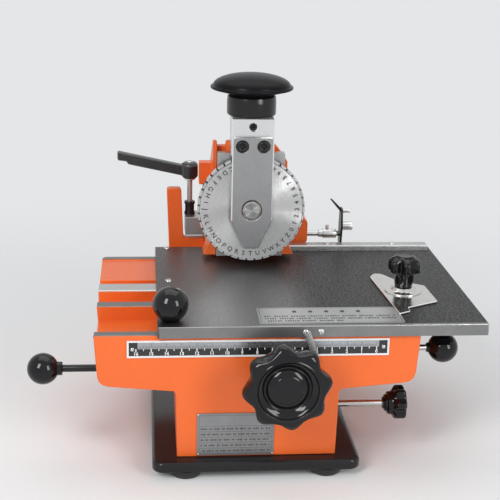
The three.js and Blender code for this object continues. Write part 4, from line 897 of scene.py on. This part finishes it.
def handwheel():
    front = -35
    reach = 29.6
    back = 13
    neck = wheel_high.y - front
    bm = spun([
        (0, 1.6, 0), (9.2, 1.6, 0.3), (9.9, 2.1, 0.3), (10.9, 2.3, 0.3), (11.8, 2.7, 0.5), (12.8, 3.3, 0.5),
        (13.6, 4.0, 0.4), (14.2, 4.9, 0.3), (15.2, 4.9, 0.3), (16.2, 3.9, 0.5), (17.4, 3.0, 0.6),
        (18.8, 2.2, 0.5), (19.6, 1.4, 0.3), (20.1, 0.3, 0.25), (20.7, 0.1, 0.2), (21.4, 0.6, 0.3),
        (22.4, 0.8, 0.4), (25.6, 1.1, 1.2), (28.0, 2.4, 1.4), (reach, 4.8, 1.6), (reach, 9.2, 1.2),
        (28.0, back, 1.2), (22.0, back, 2.0), (16.5, back - 1.0, 1.5), (11.0, back + 3.5, 2.0),
        (9.6, neck - 1, 0.5), (9.4, neck, 0.3), (4.3, neck, 0), (4.3, back + 1, 0), (0, back + 1, 0),
    ], 240)
    lobes, depth, first = 8, 4.4, -math.radians(8.5)
    draw_in(bm, lobes, first, depth, 23.6, reach, 0.9)
    stand(bm, "y", (hand_x, front, hand_z))
    settle(bm, "phenolic_handwheel", [gloss_black], "drive", "black_plastic", ["handwheel"], sharp=60)


handwheel()


# Spacing knob
# A small lobed knob on a long steel rod at the right of the column, which sets
# the distance from letter to letter.
def rod(radius, length, near, far, sides=48):
    """A spun bar on zero height, with the rounding of its near and its far end."""
    return spun([(0, 0, 0), (radius, 0, near), (radius, length, far), (0, length, 0)], sides)


def spacing_knob():
    low, high = span("spacing_knob")
    y, z = 25, 39.4
    disc = high.x - low.x
    radius = 12.3
    bm = spun([
        (2.6, 0, 0), (4.2, 0, 0.3), (4.2, 1.0, 0.2), (5.8, 1.2, 0.4), (6.0, 2.8, 0.4), (7.9, 3.2, 0.6),
        (8.4, 6.2, 0.8), (10.2, 7.4, 0.8), (radius - 0.5, 8.6, 0.6), (radius, 9.6, 0.6),
        (radius, disc - 1.2, 0.7), (radius - 1.2, disc, 0.6), (radius * 0.62, disc, 0.5),
        (radius * 0.5, disc - 0.8, 0.4), (0, disc - 0.8, 0),
    ], 168)
    lobes, depth = 7, 2.6
    draw_in(bm, lobes, 0, depth, 8.6, radius, 1.1)
    stand(bm, "x", (low.x, y, z))
    settle(bm, "spacing_lobed_knob", [gloss_black], "spacing", "black_plastic", ["spacing_knob"], sharp=50)
    rod_low, rod_high = span("spacing_screw")
    screw = stand(rod(2.3, rod_high.x - rod_low.x, 0.3, 0.3), "x", (rod_low.x, y, z))
    settle(screw, "spacing_rod", [drawn_steel], "spacing", "bright_steel", ["spacing_screw"])


spacing_knob()


# Ball levers
# Two rods that come out of the body's sides, a black one at the left and a
# bright one at the right, each with a phenolic ball on its end.
def ball_lever(side, finish, slot, neck, neck_length, rod_radius, y, z):
    radius = 10.6
    low, high = span(f"{side}_lever_ball")
    rightward = side == "right"
    centre = high.x - radius if rightward else low.x + radius
    grip = ball(radius, neck, neck_length)
    if not rightward:
        turn_over(grip)
    stand(grip, "x", (centre, y, z))
    settle(grip, f"{side}_phenolic_ball", [gloss_black], f"{side}_lever", "black_plastic",
           [f"{side}_lever_ball"])
    rod_low, rod_high = span(f"{side}_lever_rod")
    inner = rod_low.x if rightward else rod_high.x
    length = rod_high.x - rod_low.x
    collar_near, collar_far = 35.5 - abs(inner), 38.5 - abs(inner)
    profile = [(0, 0, 0), (rod_radius, 0, 0), (rod_radius, collar_near, 0), (5, collar_near, 0.3),
               (5, collar_far, 0.3), (rod_radius, collar_far, 0), (rod_radius, length, 0.3), (0, length, 0)]
    push_rod = spun(profile, 48)
    if not rightward:
        turn_over(push_rod)
    stand(push_rod, "x", (inner, y, z))
    settle(push_rod, f"{side}_push_rod", [finish], f"{side}_lever", slot, [f"{side}_lever_rod"])


ball_lever("left", black_enamel, "black_paint", 4.6, 3.4, 2.45, 16, 72.4)
ball_lever("right", drawn_steel, "bright_steel", 3.4, 1.6, 2.1, 28, 79.6)


# Head casting
# A C-shaped iron casting in the same orange enamel, bolted behind the body. Its
# nose carries the press over the platform.
dress("head_casting", "orange_head", [orange_enamel], "frame", "orange_paint", broken=0.42, segments=3)


# Press slide and block
# Ground steel: the slide runs in two dovetails on the head, and the block on
# its top takes the knob. A set screw in the block holds the knob's stem.
ground_steel = surface("ground_steel", (0.48, 0.48, 0.48), (0.34, 0.34, 0.35), 0.33, 0.09, 0.004, metal=0.85,
                       fineness=1500, patch=60, cloudy=0.3)
dress("press_slide", "ground_slide", [ground_steel], "press", "bright_steel", broken=0.35)
bright_steel = surface("bright_steel", (0.74, 0.74, 0.74), (0.62, 0.62, 0.63), 0.34, 0.08, 0.004, metal=0.7,
                       fineness=1500, patch=60, cloudy=0.3)


def chamfer(bm, width, finish):
    """Cuts one flat chamfer along every edge of a plate or a block and gives it a finish."""
    edges = [edge for edge in bm.edges if edge.calc_face_angle(0) > math.radians(33)]
    cut = bmesh.ops.bevel(bm, geom=edges, offset=width * MM, offset_type="OFFSET", segments=1,
                          profile=0.5, affect="EDGES", material=-1)
    for face in cut["faces"]:
        face.material_index = finish
    return bm


# The block's chamfers take the painted highlight.
settle(chamfer(copy_of("press_block"), 0.6, 1), "ground_press_block", [bright_steel, painted_highlight_edge], "press",
       "bright_steel", ["press_block"], sharp=25)


def six_sided(bm, reach_limit):
    """Draws the round wall of a screw's socket in to a hexagon."""
    sector = math.pi / 3
    for vert in bm.verts:
        reach = math.hypot(vert.co.x, vert.co.y)
        if 0 < reach < reach_limit * MM:
            turn = math.atan2(vert.co.y, vert.co.x) % sector - sector / 2
            share = math.cos(sector / 2) / math.cos(turn)
            vert.co.x *= share
            vert.co.y *= share


def set_screw():
    low, high = span("knob_set_screw")
    radius = (high.x - low.x) / 2
    length = high.y - low.y
    socket = radius * 0.5
    bm = spun([
        (0, 2.2, 0), (socket, 2.2, 0), (socket, 0, 0.1), (radius * 0.9, 0, 0.2), (radius, 0.4, 0.1),
        (radius, length, 0), (0, length, 0),
    ], 48)
    six_sided(bm, socket + 0.15)
    centre = middle("knob_set_screw")
    stand(bm, "y", (centre.x, low.y, centre.z))
    settle(bm, "socket_set_screw", [black_oxide], "press", "dark_steel", ["knob_set_screw"])


set_screw()


# Palm knob
# A wide black mushroom on a straight collar, turned and polished, pressed with
# the palm for each letter.
knob_low, knob_high = span("press_knob")
knob_x, knob_y = middle("press_knob").xy
turned_black = surface("turned_black", (0.005, 0.005, 0.006), (0.010, 0.010, 0.011), 0.20, 0.05, 0.001,
                       gloss=0.4, fineness=2600, turned_about=("z", (knob_x, knob_y, 0)), cloudy=0.2)
satin_black = surface("satin_black", (0.005, 0.005, 0.006), (0.010, 0.010, 0.011), 0.29, 0.06, 0.001,
                      gloss=0.08, fineness=2600, turned_about=("z", (knob_x, knob_y, 0)), cloudy=0.2)


def palm_knob():
    low, high = span("press_collar")
    radius = (high.x - low.x) / 2
    height = high.z - low.z
    collar = spun([
        (0, 0, 0), (radius - 0.5, 0, 0.3), (radius, 1.0, 0.4), (radius, height - 4, 0.6),
        (radius - 0.4, height, 0.4), (0, height, 0),
    ], 128)
    stand(collar, "z", (knob_x, knob_y, low.z))
    settle(collar, "palm_knob_collar", [turned_black], "press", "black_plastic", ["press_collar"])
    reach = (knob_high.x - knob_low.x) / 2
    rise = 5.2
    rim = 2
    dome = knob_high.z - knob_low.z
    crown_reach = reach - 2.0
    crown_low = rise + rim + 0.35
    profile = [
        (0, 0, 0), (16.6, 0, 0.3), (17.9, 1.7, 0.8), (reach - 2.6, rise - 0.5, 1.0), (reach - 0.5, rise, 0.4),
        (reach, rise + rim * 0.5, 0.4), (reach - 0.5, rise + rim, 0.3), (reach - 1.5, rise + rim, 0.2),
        (crown_reach, crown_low, 0.2),
    ]
    steps = 14
    for step in range(1, steps):
        turn = step / steps * math.pi / 2
        profile.append((crown_reach * math.cos(turn), crown_low + (dome - crown_low) * math.sin(turn), 0))
    profile.append((0, dome, 0))
    knob = spun(profile, 128)
    stand(knob, "z", (knob_x, knob_y, knob_low.z))
    settle(knob, "palm_knob", [satin_black], "press", "black_plastic", ["press_knob"])


palm_knob()


# Pointer plate
# A satin steel plate with chamfered edges in front of the type wheel. Its tip
# shows which letter is down, and two socket screws hold it to the block.
satin_steel = surface("satin_steel", (0.40, 0.40, 0.405), (0.30, 0.30, 0.305), 0.36, 0.06, 0.010, metal=0.85,
                      fineness=1300, patch=70, cloudy=0.25)
plate_screw_radius = 4.1
plate = copy_of("pointer_plate")
for node in ("plate_screw_left", "plate_screw_right"):
    low, high = span(node)
    centre = row(*middle(node))
    for vert in plate.verts:
        out = Vector((vert.co.x - centre.x, 0, vert.co.z - centre.z))
        if out.length < (high.x - low.x) * 0.6 * MM:
            vert.co -= out.normalized() * (out.length - (plate_screw_radius + 0.15) * MM)
# The plate's chamfers take the painted highlight.
settle(chamfer(plate, 0.8, 1), "chamfered_pointer_plate", [satin_steel, painted_highlight_edge], "press", "bright_steel",
       ["pointer_plate"], sharp=25)


def plate_screw(side):
    name = f"plate_screw_{side}"
    low, high = span(name)
    radius = plate_screw_radius
    length = high.y - low.y
    head_back = 3.5
    socket = 2.2
    bm = spun([
        (0, 1.9, 0), (socket, 1.9, 0), (socket, 0.3, 0.15), (socket + 0.5, 0, 0.2), (radius - 0.7, 0, 0.3),
        (radius, 0.6, 0.2), (radius, head_back, 0), (2.5, head_back, 0), (2.5, length, 0), (0, length, 0),
    ], 48)
    six_sided(bm, socket + 0.1)
    centre = middle(name)
    stand(bm, "y", (centre.x, low.y, centre.z))
    settle(bm, f"socket_{name}", [black_oxide], "press", "dark_steel", [name])


plate_screw("left")
plate_screw("right")


# Type wheel
# A turned steel disc with forty type blocks round its rim. Filled letters and
# figures on its face show which type stands below.
disc_low, disc_high = span("type_wheel")
disc_x, _, disc_z = middle("type_wheel")
turned_disc = surface("turned_disc", (0.60, 0.60, 0.60), (0.52, 0.52, 0.52), 0.24, 0.05, 0.002, metal=0.9,
                      fineness=4500, turned_about=("y", (disc_x, 0, disc_z)), cloudy=0.15)
# Black filling for the letters, also given to the slots between the type blocks as a painted shade.
engraving_and_slot_shade = surface("engraving_and_slot_shade", (0.012, 0.012, 0.012), (0.030, 0.030, 0.030), 0.5, 0.08, 0.003)
type_count = 40
groove_pitch = 0.6
groove_depth = 0.072


def type_wheel():
    """A spun disc with fine turned grooves and narrow slots between its forty type blocks, the slots lined
    with the letters' black as painted shade.
    """
    radius = 40.25
    thick = disc_high.y - disc_low.y
    root = 38.5
    slot_half = math.radians(0.6)
    steps = type_count * 18
    bush_low, bush_high = span("wheel_bush")
    bore = (bush_high.x - bush_low.x) / 2
    face_radius = radius - 0.5
    rings = round((face_radius - bore) / groove_pitch)
    grooves = [(face_radius - count * groove_pitch / 2, groove_depth * (count % 2), 0)
               for count in reversed(range(1, rings * 2))]
    bm = spun([(bore, 0, 0), *grooves, (face_radius, 0, 0), (radius, 0.5, 0.1),
               (radius, thick - 0.4, 0.1), (radius - 0.4, thick, 0.1), (bore, thick, 0), (bore, 0, 0)], steps)
    pitch = math.tau / type_count
    for vert in bm.verts:
        reach = math.hypot(vert.co.x, vert.co.y) / MM
        turn = (math.atan2(vert.co.y, vert.co.x) - math.pi / 2) % pitch - pitch / 2
        if reach > root and abs(turn) < slot_half:
            vert.co.x *= root / reach
            vert.co.y *= root / reach
    # Painted shade: faces at the slot floors take the letters' black.
    for face in bm.faces:
        nearest = min(math.hypot(vert.co.x, vert.co.y) for vert in face.verts) / MM
        face.material_index = root - 0.1 < nearest < root + 0.1
    stand(bm, "y", (disc_x, disc_low.y, disc_z))
    settle(bm, "turned_type_wheel", [turned_disc, engraving_and_slot_shade], "wheel", "bright_steel", ["type_wheel"],
           sharp=25)


type_wheel()


def wheel_characters():
    """Letters and figures in a ring, their feet outwards, counter-clockwise from the top."""
    characters = "ABCDEFGHIJKLMNOPQRSTUVWXYZ0123456789&-./"
    ring = 34.6
    height = 4.9
    bm = bmesh.new()
    for count, character in enumerate(characters):
        turn = math.tau * (count + 1) / len(characters)
        outward = Matrix.Rotation(math.pi - turn, 4, "Y")
        place = Matrix.Translation(row(disc_x, disc_low.y, disc_z)) @ outward
        weight = 0 if character == "M" else 0.06
        add_letters(bm, character, height, 0.08, weight, place @ Matrix.Translation((0, 0, -ring * MM)))
    settle(bm, "wheel_characters", [engraving_and_slot_shade], "wheel", "bright_steel")


wheel_characters()


# Wheel axle
# A turned stud with a chamfered cap, seen through the pointer plate's round
# eye. The wheel's brass bush runs on it.
cap_low, cap_high = span("wheel_axle")
turned_cap = surface("turned_cap", (0.46, 0.46, 0.455), (0.36, 0.36, 0.355), 0.20, 0.04, 0.002, metal=1,
                     fineness=5000, turned_about=("y", (disc_x, 0, disc_z)), cloudy=0.1)
cap_flat = 5.75
cap_groove = 0.125
cap_grooves = [(count * cap_groove, cap_groove / 4 * (count % 2), 0)
               for count in range(1, round(cap_flat / cap_groove))]
axle_length = cap_high.y - cap_low.y
axle = spun([
    (0, 0, 0), *cap_grooves, (cap_flat, 0, 0), (6.9, 1.0, 0.1), (6.9, 4.2, 0), (4, 4.2, 0),
    (4, axle_length, 0), (0, axle_length, 0),
])
stand(axle, "y", (disc_x, cap_low.y, disc_z))
settle(axle, "turned_axle", [turned_cap], "press", "bright_steel", ["wheel_axle"], sharp=20)


# Cross shaft
# A bright shaft through the head's right lug, with a collar, a black feed
# lever, a pin and a roller on its end.
shaft_low, shaft_high = span("rocker_shaft")
shaft_y, shaft_z = 185, 116.5
shaft = stand(rod(2.1, shaft_high.x - shaft_low.x, 0.2, 0.4), "x", (shaft_low.x, shaft_y, shaft_z))
settle(shaft, "cross_shaft", [drawn_steel], "rocker", "bright_steel", ["rocker_shaft"])


def shaft_collar():
    low, high = span("rocker_collar")
    length = high.x - low.x
    step = 3.3
    pin_along = 3.67
    pin_low = 3.1
    bm = spun([
        (2.4, 0, 0), (3.0, 0, 0.1), (3.0, step, 0), (3.8, step, 0.3), (3.8, length, 0.3), (2.4, length, 0),
        (2.4, 0, 0),
    ], 64)
    stand(bm, "x", (low.x, shaft_y, shaft_z))
    pin = rod(1.27, high.z - shaft_z - pin_low, 0, 0.3, 24)
    stand(pin, "z", (low.x + step + pin_along, shaft_y, shaft_z + pin_low))
    made = bpy.data.meshes.new("collar_pin")
    pin.to_mesh(made)
    pin.free()
    bm.from_mesh(made)
    bpy.data.meshes.remove(made)
    settle(bm, "turned_shaft_collar", [zinc_steel], "rocker", "bright_steel", ["rocker_collar"])


shaft_collar()
dress("feed_lever", "feed_lever_plate", [black_oxide], "rocker", "dark_steel", broken=0.25)
for node, radius in (("feed_pin", 1.5), ("feed_roller", 3.5)):
    low, high = span(node)
    bm = stand(rod(radius, high.x - low.x, 0.1, 0.35), "x", (low.x, *middle(node).yz))
    settle(bm, f"turned_{node}", [zinc_steel], "rocker", "bright_steel", [node])
dress("rocker_arm", "hidden_rocker_arm", [ground_steel], "rocker", "ground_steel", broken=0.3)


# Clamp
# An orange bracket beside the head, with a ground block, a stud with its nut,
# and a black lever that turns the stud.
dress("clamp_bracket", "orange_bracket", [orange_enamel], "frame", "orange_paint", broken=0.8, segments=3)
dress("clamp_block", "ground_clamp_block", [ground_steel], "frame", "ground_steel", broken=0.5)
stud_steel = surface("stud_steel", (0.46, 0.47, 0.48), (0.38, 0.39, 0.40), 0.28, 0.05, 0.001, metal=0.45,
                     fineness=1500, stretch=(1, 1, 0.05))
nut_low, nut_high = span("clamp_nut")
nut_x, nut_y = middle("clamp_nut").xy


def clamp_nut():
    height = nut_high.z - nut_low.z
    radius = 4.3
    waist = radius * 0.86
    bm = spun([
        (2.4, 0, 0), (radius, 0, 0.2), (radius, 2, 0.2), (waist, 2.1, 0.1), (waist, height - 2.2, 0.2),
        (radius, height - 2, 0.2), (radius, height, 0.3), (2.4, height, 0), (2.4, 0, 0),
    ], 64)
    stand(bm, "z", (nut_x, nut_y, nut_low.z))
    settle(bm, "turned_clamp_nut", [black_oxide], "frame", "dark_steel", ["clamp_nut"])
    low, high = span("clamp_stud")
    stud = stand(rod(2.1, high.z - low.z, 0.2, 0.2), "z", (nut_x, nut_y, low.z))
    settle(stud, "clamp_stud_rod", [stud_steel], "clamp_handle", "bright_steel", ["clamp_stud"])


clamp_nut()
cast_black = surface("cast_black", (0.012, 0.012, 0.013), (0.028, 0.028, 0.029), 0.32, 0.08, 0.008,
                     gloss=0.5, fineness=1300, patch=90, stretch=(0.12, 1, 1))
# Painted highlight: the lever's broken edges take this lighter grey, so that its ridges show as bright lines.
painted_highlight_black = surface("painted_highlight_black", (0.10, 0.10, 0.105), (0.03, 0.03, 0.031), 0.32, 0.08, 0.01,
                       fineness=1300, patch=90, stretch=(0.12, 1, 1))
dress("clamp_lever", "die_cast_lever", [cast_black, painted_highlight_black], "clamp_handle", "black_paint", broken=0.9,
      segments=3, edge_finish=1)
lever_top = 173.3
slotted_head("lever_screw", (nut_x, nut_y, lever_top), "z", 2.7, 1.3, zinc_steel, "clamp_handle",
             "bright_steel", slot_width=0.8)
washer = 0.9
lever_washer = spun([(2.2, 0, 0), (4.4, 0, 0.2), (4.4, washer, 0.2), (2.2, washer, 0), (2.2, 0, 0)], 48)
stand(lever_washer, "z", (nut_x, nut_y, span("clamp_lever")[0].z - washer))
settle(lever_washer, "lever_washer", [zinc_steel], "clamp_handle", "bright_steel")


# Hidden works
# The rack, pinion, shaft, shoes, springs, stem, plug, plunger, stud and bushes
# stay as the CAD has them and get the finish of their metal.
turned_brass = surface("turned_brass", (0.62, 0.42, 0.16), (0.50, 0.33, 0.12), 0.30, 0.08, 0.004, metal=1,
                       fineness=1500)
hidden_finishes = {
    "handwheel_bush": turned_brass, "wheel_bush": turned_brass, "rack": drawn_steel, "pinion": ground_steel,
    "handwheel_shaft": drawn_steel, "guide_shoe_front": ground_steel, "guide_shoe_rear": ground_steel,
    "press_stem": drawn_steel, "press_spring": black_oxide, "spring_plug": ground_steel,
    "index_plunger": black_oxide, "index_spring": black_oxide, "stop_stud": drawn_steel,
}
for node, finish in hidden_finishes.items():
    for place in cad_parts[node].material_slots:
        place.link = "OBJECT"
        place.material = finish
